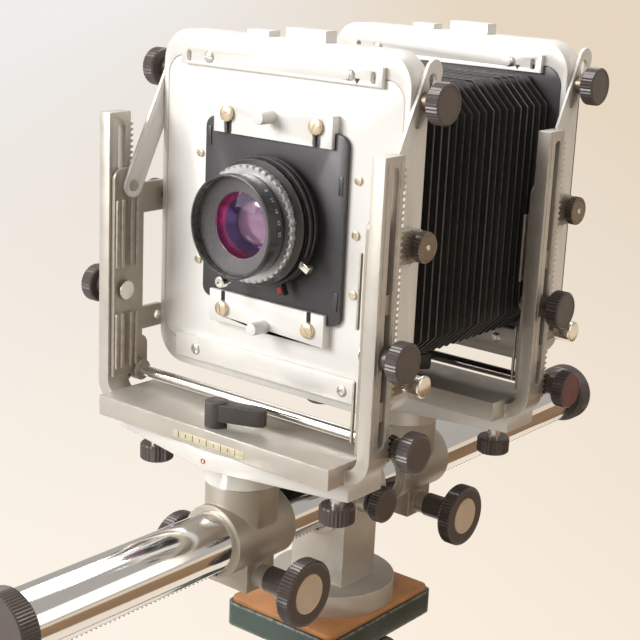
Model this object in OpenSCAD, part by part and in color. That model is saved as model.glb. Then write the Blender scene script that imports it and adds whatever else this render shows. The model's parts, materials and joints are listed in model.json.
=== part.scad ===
// View camera on a monorail, standing on a three-legged stand.
// +X is to the camera's right-hand side seen from the front, +Y points from the lens to the back, +Z up.
// The origin is on the floor, under the middle of the rail.

/* [Stand] */
// Height of the platform top above the floor
platform_h = 600; // [560:5:700]
// Platform width, across the rail
platform_w = 80; // [70:1:100]
// Platform length, along the rail
platform_l = 100; // [80:1:130]
// Platform casting thickness
platform_t = 14; // [10:1:18]
// Thickness of the pads that the camera stands on
pad_t = 3; // [2:0.5:5]
// Height of the leg pivots below the platform top
crown_drop = 105; // [100:1:120]
// Radius of the circle of leg pivots
leg_pivot_r = 46; // [42:1:55]
// Lean of each leg from upright, degrees
leg_lean = 21; // [18:1:24]
// Outer radius of the upper leg tubes
leg_r = 11; // [9:0.5:14]
// Wall of the upper leg tubes
leg_wall = 1.8; // [1.5:0.1:3]
// Length of the upper leg tubes
leg_upper_len = 320; // [250:5:340]
// Radius of the rubber feet
foot_r = 14; // [12:0.5:18]

/* [Rail] */
// Length of the rail tube
rail_len = 500; // [440:5:600]
// Outer radius of the rail tube
rail_r = 16.5; // [14:0.5:20]
// Wall of the rail tube
rail_wall = 4; // [4:0.5:6]
// Height of the rail axis above the platform
rail_h = 65; // [60:1:80]
// Where the stand's column is along the rail, from the rail's middle
column_y = -9; // [-20:1:12]
// Length of each end cap
cap_len = 12; // [8:1:16]
// Module of the rack and pinion teeth
tooth_m = 1; // [0.8:0.1:1.2]
// Teeth on each pinion
pinion_teeth = 10; // [10:1:12]
// Width of the rack
rack_w = 8; // [6:0.5:10]

/* [Standards] */
// Where the front board stands along the rail, from the rail's middle
front_y = -74; // [-90:1:-70]
// Distance between the front and rear standards
standard_gap = 149; // [140:1:185]
// Height of the lens axis above the rail axis
axis_h = 170; // [165:1:200]
// How far the swing axis stands in front of the board
swing_y = 19; // [17:1:22]
// Length of the block that rides on the rail
block_len = 46; // [40:1:50]
// Radius of the swing disc
disc_r = 21; // [19:0.5:24]
// Half length of the base plate
plate_half = 82; // [70:1:100]
// Thickness of the base plate
plate_t = 10; // [8:0.5:12]
// Thickness of the yoke's bottom bar
bar_t = 11; // [9:0.5:14]
// Depth of the yoke's bottom bar, along the rail
bar_d = 42; // [36:1:46]
// Thickness of the yoke's uprights
upright_t = 7.5; // [6:0.5:10]
// Depth of the yoke's uprights, along the rail
upright_d = 15.5; // [14:0.5:18]
// Height of the uprights' tops above the lens axis
upright_top = 48; // [40:1:55]
// Rise of the front or rear frame
rise = 50; // [30:1:50]
// Shift of the yoke to either side
shift = 30; // [20:1:32]

/* [Frames] */
// Side of the square lens board
board = 158; // [140:1:171]
// Corner radius of the lens board
board_corner_r = 11; // [0.5:0.5:16]
// Thickness of the lens board
board_t = 4; // [3:0.5:5]
// Frame wall beside the board
frame_side = 3.5; // [3:0.5:6]
// Frame height beyond the board, above and below
frame_over = 14; // [12:1:18]
// Frame depth
frame_d = 15; // [13:0.5:20]
// Side of the light opening behind the board
opening = 140; // [120:1:146]
// Outer corner radius of the frames
corner_r = 18; // [10:1:24]

/* [Lens] */
// Radius of the lens rim
rim_r = 27.2; // [26.8:0.1:29]
// Radius of the filter thread in the rim
filter_r = 26; // [25:0.1:26.2]
// Radius of the shutter body
shutter_r = 32.5; // [31:0.5:36]
// Thickness of the shutter body
shutter_t = 13; // [11:0.5:16]
// Width of the speed ring
ring_t = 7.3; // [6:0.1:9]
// Length of the front barrel
barrel_len = 12; // [10:0.5:16]
// Radius of the hole in the small board
board_hole_r = 17.4; // [17:0.1:20]
// Width of the small black board
small_w = 96; // [90:1:100]
// Height of the small black board
small_h = 99; // [94:1:102]
// Thickness of the small black board
small_t = 3; // [2:0.5:4]

/* [Bellows] */
// Number of folds
folds = 19; // [12:1:24]
// Outer half width of the folds
fold_out = 74; // [68:1:78]
// Depth of the folds
fold_in = 13; // [8:1:14]

/* [Knobs] */
// Radius of the focusing knobs
focus_knob_r = 18.5; // [16:0.5:22]
// Thickness of the focusing knobs
focus_knob_t = 8; // [6:0.5:10]
// Radius of the clamp knobs
knob_r = 10.5; // [9:0.5:13]
// Thickness of the clamp knobs
knob_t = 11; // [8:0.5:13]

/* [Fits] */
// Radial running clearance of shafts and the rail
run = 0.05; // [0.02:0.01:0.09]
// Gap between plates that move past each other
gap = 0.3; // [0.2:0.05:0.5]

/* [Hidden] */
$fn = 64;

// Heights
rail_z = platform_h + rail_h;
lens_z = rail_z + axis_h;
crown_z = platform_h - crown_drop;

// Teeth
pitch = PI * tooth_m;
pinion_r = pinion_teeth * tooth_m / 2;
addendum = 0.85 * tooth_m;
dedendum = 1.15 * tooth_m;
tooth_h = addendum + dedendum;
flank = tan(20);
half_tooth = 0.2 * pitch;

// Rail and rack: the rack sits in a groove along the underside and its teeth point down
rack_tip = rail_r + 1.5;
rack_root = rack_tip - tooth_h;
rack_top = rail_r - 2.5;
focus_pinion_z = rack_root + dedendum + pinion_r;
bore_r = rail_r + run;
block_r = rail_r + 3.5;

// Stack from the rail axis up to the yoke, measured from the lens axis
disc_low = block_r + 10 - axis_h;
plate_low = disc_low + 13;
plate_top = plate_low + plate_t;
bar_top = plate_top + gap + bar_t;

// Layers beside the frame, from the inside out
frame_half = board / 2 + frame_side;
frame_top = board / 2 + frame_over;
link_t = 2;
bracket_t = 2.5;
link_x = frame_half + gap;
bracket_x = link_x + link_t + gap;
upright_x = bracket_x + bracket_t + gap;
upright_out = upright_x + upright_t;

// Yoke uprights: rear edge carries the rise rack
upright_back = -swing_y - 1;
upright_front = upright_back - upright_d;
slot_y = upright_back - 6.5;
slot_w = 5.4;
rise_rod_y = upright_back + dedendum + pinion_r;
rise_rod_z = bar_top + 7;
rod_r = 3;

// Tilt axis and the clamp that locks the links
tilt_y = 4.5;
link_pin_y = upright_back - 2;
link_pin_z = 8;
clamp_y = 9;
clamp_z = board / 2 - 9;
link_len = norm([clamp_y - link_pin_y, clamp_z - link_pin_z]);
link_turn = atan2(clamp_y - link_pin_y, clamp_z - link_pin_z);
shank_r = 2.4;
link_end_r = 6.5;
link_slot_play = 0.8;
rivet_r = 2.95;

// Heights on the brackets
lock_z = -50;
detent_z = -69;

// Lens pieces along the axis, forward of the board
small_front = -small_t;
shutter_front = small_front - shutter_t;
ring_front = shutter_front - ring_t - gap;
rim_front = ring_front - barrel_len;
boss_r = 25.9;
thread_r = board_hole_r - run;

// Rear standard
rear_y = front_y + standard_gap;

// Legs
leg_len = crown_z / cos(leg_lean);
leg_in_r = leg_r - leg_wall;
leg_low_r = leg_in_r - run;
foot_z = 9;
foot_at = (crown_z - foot_z) / cos(leg_lean);
leg_angles = [90, 210, 330];

// ---------- shared shapes ----------

// Both sides of the camera
module sides() {
    children();
    mirror([1, 0, 0]) children();
}

// Both sides of a leg
module sides_y() {
    children();
    mirror([0, 1, 0]) children();
}

// Outline in Y and Z, extruded from x0 to x1
module along_x(x0, x1) {
    translate([x0, 0, 0]) rotate([90, 0, 90]) linear_extrude(x1 - x0) children();
}

// Outline in X and Z, extruded from y0 to y1
module along_y(y0, y1) {
    translate([0, y1, 0]) rotate([90, 0, 0]) linear_extrude(y1 - y0) children();
}

// Outline in X and Y, extruded from z0 to z1
module along_z(z0, z1) {
    translate([0, 0, z0]) linear_extrude(z1 - z0) children();
}

module x_rod(r, x0, x1, y, z) {
    translate([x0, y, z]) rotate([0, 90, 0]) cylinder(r = r, h = x1 - x0);
}

module y_rod(r, y0, y1, x = 0, z = 0) {
    translate([x, y0, z]) rotate([-90, 0, 0]) cylinder(r = r, h = y1 - y0);
}

module z_rod(r, z0, z1, x = 0, y = 0) {
    translate([x, y, z0]) cylinder(r = r, h = z1 - z0);
}

module block(x0, x1, y0, y1, z0, z1) {
    translate([x0, y0, z0]) cube([x1 - x0, y1 - y0, z1 - z0]);
}

// Rectangle with round corners
module round_rect(w, h, r) {
    square([w - 2 * r, h], center = true);
    square([w, h - 2 * r], center = true);
    for (sx = [-1, 1], sz = [-1, 1]) {
        translate([sx * (w / 2 - r), sz * (h / 2 - r)]) circle(r = r);
    }
}

// Bar with round ends from point a to point b
module round_bar(a, b, r) {
    d = b - a;
    translate(a) circle(r = r);
    translate(b) circle(r = r);
    translate(a) rotate(atan2(d[1], d[0])) translate([0, -r]) square([norm(d), 2 * r]);
}

// Knob along +X with a chamfered rim, its inner face at x0
module x_knob(r, t, x0, y, z) {
    chamfer = 0.8;
    translate([x0, y, z]) rotate([0, 90, 0]) rotate_extrude() polygon([
        [0, 0], [r - chamfer, 0], [r, chamfer], [r, t - chamfer], [r - chamfer, t], [0, t]]);
}

// Rack outline: teeth along +X standing up in +Y, on a strip that reaches down to -body
function rack_points(n, body) = concat(
    [for (i = [0 : n - 1]) each [
        [(i + 0.5) * pitch - half_tooth - dedendum * flank, 0],
        [(i + 0.5) * pitch - half_tooth + addendum * flank, tooth_h],
        [(i + 0.5) * pitch + half_tooth - addendum * flank, tooth_h],
        [(i + 0.5) * pitch + half_tooth + dedendum * flank, 0]]],
    [[n * pitch, 0], [n * pitch, -body], [0, -body], [0, 0]]);

// Pinion outline: one tooth points along +X
module pinion_outline() {
    root = pinion_r - dedendum;
    tip = pinion_r + addendum * 0.9;
    difference() {
        union() {
            circle(r = root);
            for (i = [0 : pinion_teeth - 1]) rotate(360 * i / pinion_teeth) polygon([
                [0, -0.27 * pitch], [root, -0.27 * pitch], [pinion_r, -0.19 * pitch], [tip, -0.1 * pitch],
                [tip, 0.1 * pitch], [pinion_r, 0.19 * pitch], [root, 0.27 * pitch], [0, 0.27 * pitch]]);
        }
        circle(r = rod_r - 1);
    }
}

// How far a pinion turns so that a tooth meets the gap nearest to a place along the rack, degrees
function mesh_turn(place) = (place - pitch * round(place / pitch)) / pinion_r * 180 / PI;

module at_front() {
    translate([0, front_y, lens_z]) children();
}

module at_rear() {
    translate([0, rear_y, lens_z]) children();
}

// ---------- stand ----------

crown_r = 34;
crown_top = 30;
crown_low = -18;
eye_w = 16;
eye_r = 11;
leg_pin_r = 4;
pan_stem_r = 12;
pan_disc_r = 30;
fork_t = 9;
lug_half = 12;
tilt_pin_r = 5;
tilt_axis_z = platform_h - pad_t - platform_t - 17;
pan_disc_top = tilt_axis_z - 19;

module leg_place(i) {
    translate([0, column_y, crown_z]) rotate([0, 0, leg_angles[i]]) translate([leg_pivot_r, 0, 0])
        children();
}

module tripod_crown() {
    color("darkslategray") {
        difference() {
            translate([0, column_y, crown_z]) union() {
                translate([0, 0, crown_low]) cylinder(r = crown_r - 6, h = crown_top - crown_low);
                translate([0, 0, crown_top - 8]) cylinder(r = crown_r, h = 8);
                for (i = [0 : 2]) rotate([0, 0, leg_angles[i]]) sides_y() {
                    translate([0, eye_w / 2 + gap, -eye_r]) cube([leg_pivot_r, 6, 2 * eye_r]);
                    y_rod(eye_r, eye_w / 2 + gap, eye_w / 2 + gap + 6, leg_pivot_r, 0);
                }
            }
            z_rod(pan_stem_r + run, crown_z + crown_low - 1, crown_z + crown_top + 1, 0, column_y);
            for (i = [0 : 2]) leg_place(i) y_rod(leg_pin_r, -20, 20, 0, 0);
            for (i = [0 : 2]) translate([0, column_y, crown_z]) rotate([0, 0, leg_angles[i]])
                translate([leg_pivot_r - eye_r - 4, -eye_w / 2 - gap, -60]) cube([60, eye_w + 2 * gap, 120]);
        }
        for (i = [0 : 2]) leg_place(i) {
            y_rod(leg_pin_r, -eye_w / 2 - 8, eye_w / 2 + 8, 0, 0);
            sides_y() y_rod(6, eye_w / 2 + gap + 6, eye_w / 2 + gap + 9, 0, 0);
        }
    }
}

module leg_upper(i) {
    color("dimgray") leg_place(i) rotate([0, -leg_lean, 0]) difference() {
        union() {
            y_rod(eye_r - 1, -eye_w / 2, eye_w / 2, 0, 0);
            translate([-8, -eye_w / 2, -30]) cube([16, eye_w, 30]);
            z_rod(leg_r, -leg_upper_len, -22);
            z_rod(leg_r + 3, -leg_upper_len, -leg_upper_len + 28);
            translate([leg_r - 2, -6, -leg_upper_len]) cube([12, 12, 28]);
            x_rod(3, leg_r + 6, leg_r + 18, 0, -leg_upper_len + 14);
            x_knob(8, 7, leg_r + 16, 0, -leg_upper_len + 14);
        }
        y_rod(leg_pin_r + run, -20, 20, 0, 0);
        z_rod(leg_in_r, -leg_upper_len - 1, -34);
    }
}

module leg_lower(i) {
    color("silver") leg_place(i) difference() {
        union() {
            rotate([0, -leg_lean, 0]) difference() {
                z_rod(leg_low_r, -foot_at, -42);
                z_rod(leg_low_r - 1.8, -foot_at + 12, -41);
            }
            rotate([0, -leg_lean, 0]) translate([0, 0, -foot_at]) sphere(r = foot_r);
        }
        translate([0, -50, -crown_z - 50]) cube([400, 100, 50]);
    }
}

module pan_base() {
    color("darkslategray") translate([0, column_y, 0]) difference() {
        union() {
            z_rod(pan_stem_r, crown_z + crown_low, crown_z + crown_top + 2);
            z_rod(pan_disc_r, crown_z + crown_top + gap, pan_disc_top);
            sides() along_x(lug_half + gap, lug_half + gap + fork_t) {
                translate([0, tilt_axis_z]) circle(r = 13);
                translate([-13, pan_disc_top - 2]) square([26, tilt_axis_z - pan_disc_top + 2]);
            }
        }
        x_rod(tilt_pin_r + run, -50, 50, 0, tilt_axis_z);
    }
}

module tilt_platform() {
    color([0.16, 0.2, 0.18]) translate([0, column_y, 0]) {
        difference() {
            union() {
                along_z(platform_h - pad_t - platform_t, platform_h - pad_t)
                    round_rect(platform_w, platform_l, 6);
                along_x(-lug_half, lug_half) {
                    translate([0, tilt_axis_z]) circle(r = 13);
                    translate([-13, tilt_axis_z]) square([26, 20]);
                }
            }
            x_rod(tilt_pin_r + run, -50, 50, 0, tilt_axis_z);
            z_rod(5, platform_h - 60, platform_h + 1);
        }
        // camera screw, held up in the platform
        z_rod(4.8, platform_h - pad_t - 12, platform_h + 9);
    }
}

module platform_pads() {
    channel = 9;
    color([0.72, 0.38, 0.16]) translate([0, column_y, 0]) along_z(platform_h - pad_t, platform_h)
        difference() {
            round_rect(platform_w - 4, platform_l - 4, 5);
            translate([-platform_w / 2, -platform_l * 0.16]) square([platform_w * 0.4, channel]);
            circle(r = 7);
        }
}

module tilt_lock() {
    color([0.2, 0.18, 0.17]) translate([0, column_y, 0]) {
        x_rod(tilt_pin_r, -lug_half - gap - fork_t - 3, lug_half + gap + fork_t + 10, 0, tilt_axis_z);
        x_rod(8, lug_half + fork_t + 2 * gap, lug_half + fork_t + 8, 0, tilt_axis_z);
        x_knob(16, 12, lug_half + fork_t + 8, 0, tilt_axis_z);
        x_rod(8, -lug_half - fork_t - 5, -lug_half - fork_t - 2 * gap, 0, tilt_axis_z);
    }
}

// ---------- rail ----------

module rail_tube() {
    color("gainsboro") translate([0, 0, rail_z]) difference() {
        y_rod(rail_r, -rail_len / 2, rail_len / 2);
        y_rod(rail_r - rail_wall, -rail_len / 2 - 1, rail_len / 2 + 1);
        block(-rack_w / 2, rack_w / 2, -rail_len, rail_len, -rack_tip - 1, -rack_top);
    }
}

module rail_rack() {
    teeth = 2 * floor((rail_len / 2 - 1) / pitch);
    color([0.2, 0.15, 0.12]) translate([0, -teeth / 2 * pitch, rail_z - rack_root])
        mirror([0, 0, 1]) along_x(-rack_w / 2, rack_w / 2) polygon(rack_points(teeth, rack_root - rack_top));
}

module rail_caps() {
    color([0.18, 0.16, 0.15]) translate([0, 0, rail_z]) for (s = [-1, 1]) scale([1, s, 1]) {
        y_rod(block_r, rail_len / 2, rail_len / 2 + cap_len);
        y_rod(rail_r - rail_wall - run, rail_len / 2 - 14, rail_len / 2);
    }
}

// Bore for the rail with a keyway for the rack, from y0 to y1
module rail_bore(y0, y1) {
    y_rod(bore_r, y0, y1);
    block(-rack_w / 2 - 0.6, rack_w / 2 + 0.6, y0, y1, -rack_tip - 0.5, 0);
}

foot_disc_r = 37;
column_half = 19;
column_d = 31;

module tripod_block() {
    half = 21;
    color([0.62, 0.6, 0.55]) translate([0, column_y, rail_z]) difference() {
        union() {
            y_rod(block_r + 1, -half, half);
            block(-column_half, column_half, -column_d / 2, column_d / 2, -rail_h + 10, -4);
            z_rod(foot_disc_r, -rail_h, -rail_h + 13);
            x_rod(8, 14, block_r + 6, 0, 0);
        }
        rail_bore(-half - 1, half + 1);
        x_rod(3, 10, 60, 0, 0);
        z_rod(4.85, -rail_h - 1, -rail_h + 11);
    }
}

module block_lock() {
    color([0.18, 0.16, 0.15]) translate([0, column_y, rail_z]) {
        x_rod(3 - run, bore_r + 0.2, block_r + 12, 0, 0);
        x_knob(knob_r, knob_t, block_r + 6 + gap, 0, 0);
    }
}

// ---------- carrier blocks and focusing ----------

focus_boss_x = 22;
focus_knob_x = 42;
shaft_r = 3;

module carrier() {
    color([0.6, 0.57, 0.52]) translate([0, -swing_y, -axis_h]) difference() {
        union() {
            y_rod(block_r, -block_len / 2, block_len / 2);
            z_rod(disc_r - 1, 8, block_r + 10 - gap);
            block(-15, 15, -11, 11, -focus_pinion_z - 7.5, -8);
            x_rod(6.5, -focus_boss_x, focus_boss_x, 0, -focus_pinion_z);
        }
        rail_bore(-block_len, block_len);
        x_rod(shaft_r + run, -40, 40, 0, -focus_pinion_z);
        x_rod(pinion_r + tooth_m + 0.2, -5, 5, 0, -focus_pinion_z);
        z_rod(5 + run, bore_r - 4, 60);
    }
}

module focus_knobs(place) {
    color([0.17, 0.15, 0.14]) translate([0, -swing_y, -axis_h - focus_pinion_z]) {
        sides() {
            x_rod(shaft_r, 3.9, focus_knob_x, 0, 0);
            x_rod(6.3, focus_boss_x + gap, focus_knob_x, 0, 0);
            x_knob(focus_knob_r, focus_knob_t, focus_knob_x, 0, 0);
        }
        rotate([mesh_turn(place), 0, 0]) along_x(-4, 4) rotate(90) pinion_outline();
        x_rod(rod_r - 1, -5, 5, 0, 0);
    }
}

// ---------- base plate, yoke and brackets ----------

key_half = 48;
key_h = 3;
screw_x = plate_half - 17;
bar_front = -swing_y - bar_d * 0.7;
bar_back = -swing_y + bar_d * 0.3;
yoke_low = plate_top + gap;
yoke_corner = 8;
yoke_pale = [0.75, 0.73, 0.69];
knob_black = [0.17, 0.15, 0.14];

module base_plate() {
    color([0.8, 0.79, 0.76]) translate([0, -swing_y, 0]) {
        along_z(plate_low, plate_top) polygon([
            [-plate_half, -14], [0, -32], [plate_half, -14], [plate_half, 14], [0, 32], [-plate_half, 14]]);
        z_rod(disc_r, disc_low, plate_low);
        z_rod(5, bore_r + 0.6 - axis_h, disc_low);
        block(-key_half, key_half, -5, 5, plate_top, plate_top + key_h);
    }
}

// Thumb screws that clamp the yoke to the base plate
module base_screws() {
    color(knob_black) for (s = [-1, 1]) translate([s * screw_x, -swing_y, 0]) {
        z_rod(4, plate_low - 10, plate_low);
        z_rod(9.5, plate_low - 19, plate_low - 10);
    }
}

// U-shaped outline of the yoke, with its outer corners rounded
module yoke_outline() {
    outer_r = yoke_corner + upright_t;
    corner_z = yoke_low + outer_r;
    difference() {
        union() {
            translate([-upright_out, corner_z]) square([2 * upright_out, upright_top - corner_z]);
            translate([-upright_out + outer_r, yoke_low]) square([2 * (upright_out - outer_r), outer_r + 1]);
            for (s = [-1, 1]) translate([s * (upright_out - outer_r), corner_z]) circle(r = outer_r);
        }
        translate([-upright_x, corner_z]) square([2 * upright_x, upright_top - corner_z + 1]);
        translate([-upright_x + yoke_corner, bar_top - 1])
            square([2 * (upright_x - yoke_corner), corner_z - bar_top + 2]);
        for (s = [-1, 1]) translate([s * (upright_x - yoke_corner), corner_z]) circle(r = yoke_corner);
    }
}

module yoke() {
    teeth = floor((upright_top - 4 - rise_rod_z) / pitch) + 2;
    color(yoke_pale) {
        difference() {
            union() {
                along_y(upright_front, upright_back) yoke_outline();
                block(-upright_x + 7, upright_x - 7, bar_front, bar_back, yoke_low, bar_top);
            }
            sides() along_x(upright_x - 1, upright_out + 1)
                round_bar([slot_y, bar_top + 12], [slot_y, upright_top - 8], slot_w / 2);
            block(-key_half - shift - 2, key_half + shift + 2, -swing_y - 5.1, -swing_y + 5.1,
                yoke_low - 1, yoke_low + key_h + 0.1);
        }
        // racks along the rear edges, with a tooth gap level with the pinion
        sides() along_x(upright_x, upright_out) translate([upright_back, rise_rod_z - 2 * pitch])
            mirror([1, 0]) rotate(90) polygon(rack_points(teeth, 1));
    }
}

lever_y = bar_front + 9;

module shift_lever() {
    color([0.1, 0.09, 0.08]) translate([-2, lever_y, bar_top]) {
        z_rod(6, gap, 14);
        rotate([0, 0, 18]) along_z(4, 13) polygon([[0, -5], [24, -4], [28, -2], [28, 2], [24, 4], [0, 5]]);
    }
}

// One side's bracket: it slides on the upright and carries the frame's tilt pin
module bracket_outline() {
    low = bar_top + 6;
    top = link_pin_z + 10;
    difference() {
        union() {
            translate([upright_front + 1.5, low]) square([upright_d + 6.5, top - low - 6]);
            round_bar([upright_front + 7.5, top - 6], [upright_back + 2, top - 6], 6);
            round_bar([upright_back, 0], [tilt_y, 0], 8.5);
            round_bar([upright_back, detent_z], [1, detent_z], 6.5);
            round_bar([rise_rod_y, rise_rod_z], [rise_rod_y, rise_rod_z + 14], 6);
        }
        translate([rise_rod_y, rise_rod_z]) circle(r = rod_r + run);
        translate([tilt_y, 0]) circle(r = 3 + run);
        translate([slot_y, lock_z]) circle(r = shank_r + run);
        translate([0, detent_z]) circle(r = 2.5 + run);
        translate([link_pin_y, link_pin_z]) circle(r = rivet_r - run);
    }
}

module brackets() {
    color([0.8, 0.79, 0.76]) sides() {
        along_x(bracket_x, bracket_x + bracket_t) bracket_outline();
        // rivet that the link turns on
        x_rod(rivet_r, link_x - 0.6, bracket_x + bracket_t, link_pin_y, link_pin_z);
        // keys that run in the upright's slot
        for (z = [-24, -78])
            block(bracket_x + bracket_t, upright_out - 1.5, slot_y - slot_w / 2 + gap, slot_y + slot_w / 2 - gap,
                z - 5, z + 5);
    }
}

module rise_locks() {
    color(knob_black) sides() {
        x_rod(shank_r, bracket_x, upright_out + 3, slot_y, lock_z);
        x_rod(6.5, upright_out + gap, upright_out + 3, slot_y, lock_z);
        x_knob(knob_r, knob_t, upright_out + 3, slot_y, lock_z);
    }
}

module rise_pinion() {
    color([0.75, 0.73, 0.7]) {
        x_rod(rod_r, -upright_out - 2, upright_out + 5, rise_rod_y, rise_rod_z);
        sides() translate([0, rise_rod_y, rise_rod_z]) along_x(upright_x + gap, upright_out - gap)
            rotate(180) pinion_outline();
        x_rod(6.5, upright_out + gap, upright_out + 4, rise_rod_y, rise_rod_z);
        x_knob(knob_r, knob_t, upright_out + 4, rise_rod_y, rise_rod_z);
        x_rod(5, -upright_out - 3, -upright_out - gap, rise_rod_y, rise_rod_z);
    }
}

// ---------- frames ----------

latch_half = 67;
latch_low = board / 2 - 4;
latch_t = 3;
latch_travel = 6;
clamp_depth = 7;

module frame_casting() {
    color([0.86, 0.85, 0.82]) {
        difference() {
            union() {
                along_y(0, frame_d) round_rect(2 * frame_half, 2 * frame_top, corner_r);
                // spirit level and shoe on the top edge
                block(1, 27, 2, 11, frame_top - 1, frame_top + 6);
                block(-27, -12, 4, 13, frame_top - 1, frame_top + 3);
            }
            along_y(-1, board_t + 0.1)
                round_rect(board + 0.4, board + 0.4, board_corner_r + 0.3);
            block(-opening / 2, opening / 2, -1, frame_d + 1, -opening / 2, opening / 2);
            x_rod(3 + run, -frame_half - 1, -board / 2 + 0.1, tilt_y, 0);
            x_rod(3 + run, board / 2 - 0.1, frame_half + 1, tilt_y, 0);
            sides() x_rod(shank_r + run, frame_half - clamp_depth, frame_half + 1, clamp_y, clamp_z);
        }
        // fixed clamp bar along the lower edge of the board
        block(-latch_half, latch_half, -latch_t, 0, -latch_low - 13, -latch_low);
    }
}

module tilt_links() {
    color([0.88, 0.87, 0.84]) sides() along_x(link_x, link_x + link_t)
        translate([link_pin_y, link_pin_z]) rotate(90 - link_turn) difference() {
            round_bar([0, 0], [link_len + 15, 0], link_end_r);
            circle(r = rivet_r + run);
            round_bar([link_len - 11, 0], [link_len + 11, 0], shank_r + link_slot_play);
        }
}

module link_knobs() {
    face = link_x + link_t + gap;
    color(knob_black) sides() {
        x_rod(shank_r, frame_half - clamp_depth + 0.5, face + 3, clamp_y, clamp_z);
        x_rod(7, face, face + 3, clamp_y, clamp_z);
        x_knob(knob_r, knob_t, face + 3, clamp_y, clamp_z);
    }
}

module tilt_knobs() {
    face = bracket_x + bracket_t + gap;
    color([0.3, 0.25, 0.2]) sides() {
        x_rod(3, board / 2 + 0.1, face + 2, tilt_y, 0);
        x_knob(8, 7.5, face, tilt_y, 0);
    }
}

// Bar that slides up to free the board
module latch_bar() {
    color([0.86, 0.85, 0.82]) difference() {
        union() {
            block(-latch_half, latch_half, -latch_t, 0, latch_low, latch_low + 10);
            y_rod(3, -latch_t - 1.5, 0, 45, latch_low + 5);
        }
        along_y(-latch_t - 1, 1) for (s = [-1, 1]) round_bar([s * 61.5, latch_low + 3], [s * 61.5, latch_low + 6], 1.5);
    }
}

module detent() {
    color("whitesmoke") {
        x_rod(2.5, link_x, upright_out - 4, 0, detent_z);
        x_knob(6, 11, upright_out - 5, 0, detent_z);
    }
}

// ---------- lens ----------

slider_top = small_h / 2 + 9;
lip = 7.5;
screw_at = 30;
pull_r = 3.5;
slider_front = -small_t - 2.6;

module adapter_board() {
    color([0.88, 0.87, 0.84]) difference() {
        along_y(0, board_t) round_rect(board - 0.2, board - 0.2, board_corner_r);
        block(-40, 40, -1, board_t + 1, -40, 40);
    }
}

module lens_board() {
    color([0.06, 0.06, 0.07]) difference() {
        block(-small_w / 2, small_w / 2, -small_t, 0, -small_h / 2, small_h / 2);
        y_rod(board_hole_r, -small_t - 1, 1);
    }
}

// Upper plate: it laps over the small board and slides up to free it
module board_slider() {
    color([0.88, 0.87, 0.84]) {
        difference() {
            union() {
                block(-40, 40, slider_front, 0, small_h / 2 + 0.3, slider_top);
                block(-40, 40, slider_front, -small_t - 0.2, small_h / 2 - lip, small_h / 2 + 0.3);
            }
            along_y(slider_front - 1, 1) for (s = [-1, 1])
                round_bar([s * screw_at, slider_top - 15], [s * screw_at, slider_top - 6], 2.6);
        }
        y_rod(pull_r, slider_front - 11, slider_front, 0, slider_top - 4.5);
    }
}

// Lower plate with its pull pin, and all the screws of the boards
module board_retainer() {
    color([0.88, 0.87, 0.84]) {
        block(-40, 40, slider_front, 0, -slider_top - 3, -small_h / 2 - 0.3);
        block(-40, 40, slider_front, -small_t - 0.1, -small_h / 2 - 0.3, -small_h / 2 + lip - 2);
        y_rod(pull_r, slider_front - 11, slider_front, 0, -slider_top + 1);
    }
    color([0.7, 0.55, 0.25]) {
        for (s = [-1, 1]) {
            y_rod(2.3, slider_front - 0.3, 0, s * screw_at, slider_top - 6.2);
            y_rod(4.2, slider_front - 2, slider_front - 0.3, s * screw_at, slider_top - 6.2);
            y_rod(4.2, slider_front - 1.7, slider_front, s * screw_at, -slider_top + 5);
            for (z = [-31, 0, 28]) y_rod(2.2, -1, 0, s * (small_w / 2 + 6), z);
        }
    }
}

module shutter_body() {
    color([0.08, 0.08, 0.09]) difference() {
        union() {
            y_rod(shutter_r, shutter_front, small_front);
            y_rod(boss_r, ring_front - gap, shutter_front);
            y_rod(thread_r, small_front, board_t + 1);
        }
        y_rod(thread_r - 1.2, ring_front - 1, board_t + 2);
    }
    // nut behind the board
    color([0.1, 0.1, 0.1]) difference() {
        y_rod(board_hole_r + 4, 0.1, board_t - 0.4);
        y_rod(thread_r + 0.02, -1, board_t + 1);
    }
}

module speed_ring() {
    color("silver") difference() {
        y_rod(shutter_r + 0.5, ring_front, shutter_front - gap);
        y_rod(boss_r + run, ring_front - 1, shutter_front + 1);
    }
}

cell_r = thread_r - 1.3;

module lens_barrels() {
    back = ring_front - gap;
    glass_r = cell_r + 2;
    color([0.07, 0.07, 0.08]) {
        // front barrel with the filter thread and the cone down to the glass
        rotate([-90, 0, 0]) rotate_extrude() polygon([
            [filter_r, rim_front], [rim_r, rim_front], [rim_r, rim_front + 5], [rim_r - 0.8, rim_front + 5.5],
            [rim_r - 0.8, back], [cell_r, back], [cell_r, back + 12], [cell_r - 1, back + 12],
            [cell_r - 1, back - 2], [glass_r, back - 2], [glass_r, back - 4], [filter_r - 1, rim_front + 5],
            [filter_r, rim_front + 5]]);
        // rear cell, screwed in from behind
        rotate([-90, 0, 0]) rotate_extrude() polygon([
            [cell_r - 1, -4], [cell_r, -4], [cell_r, board_t + 1.2], [cell_r + 3, board_t + 1.2],
            [cell_r + 3, board_t + 18], [cell_r - 1, board_t + 18]]);
    }
}

// Both glasses, each bulging outwards
module lens_elements() {
    back = ring_front - gap;
    bulge = 3;
    front_r = cell_r + 1.8;
    curve = (front_r * front_r + bulge * bulge) / (2 * bulge);
    color([0.5, 0.3, 0.6, 0.6]) {
        intersection() {
            y_rod(front_r, back - 6, back - 2.1);
            translate([0, back - 2.4 - bulge + curve, 0]) sphere(r = curve, $fn = 96);
        }
        y_rod(cell_r - 1.1, board_t + 10, board_t + 15);
    }
}

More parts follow.
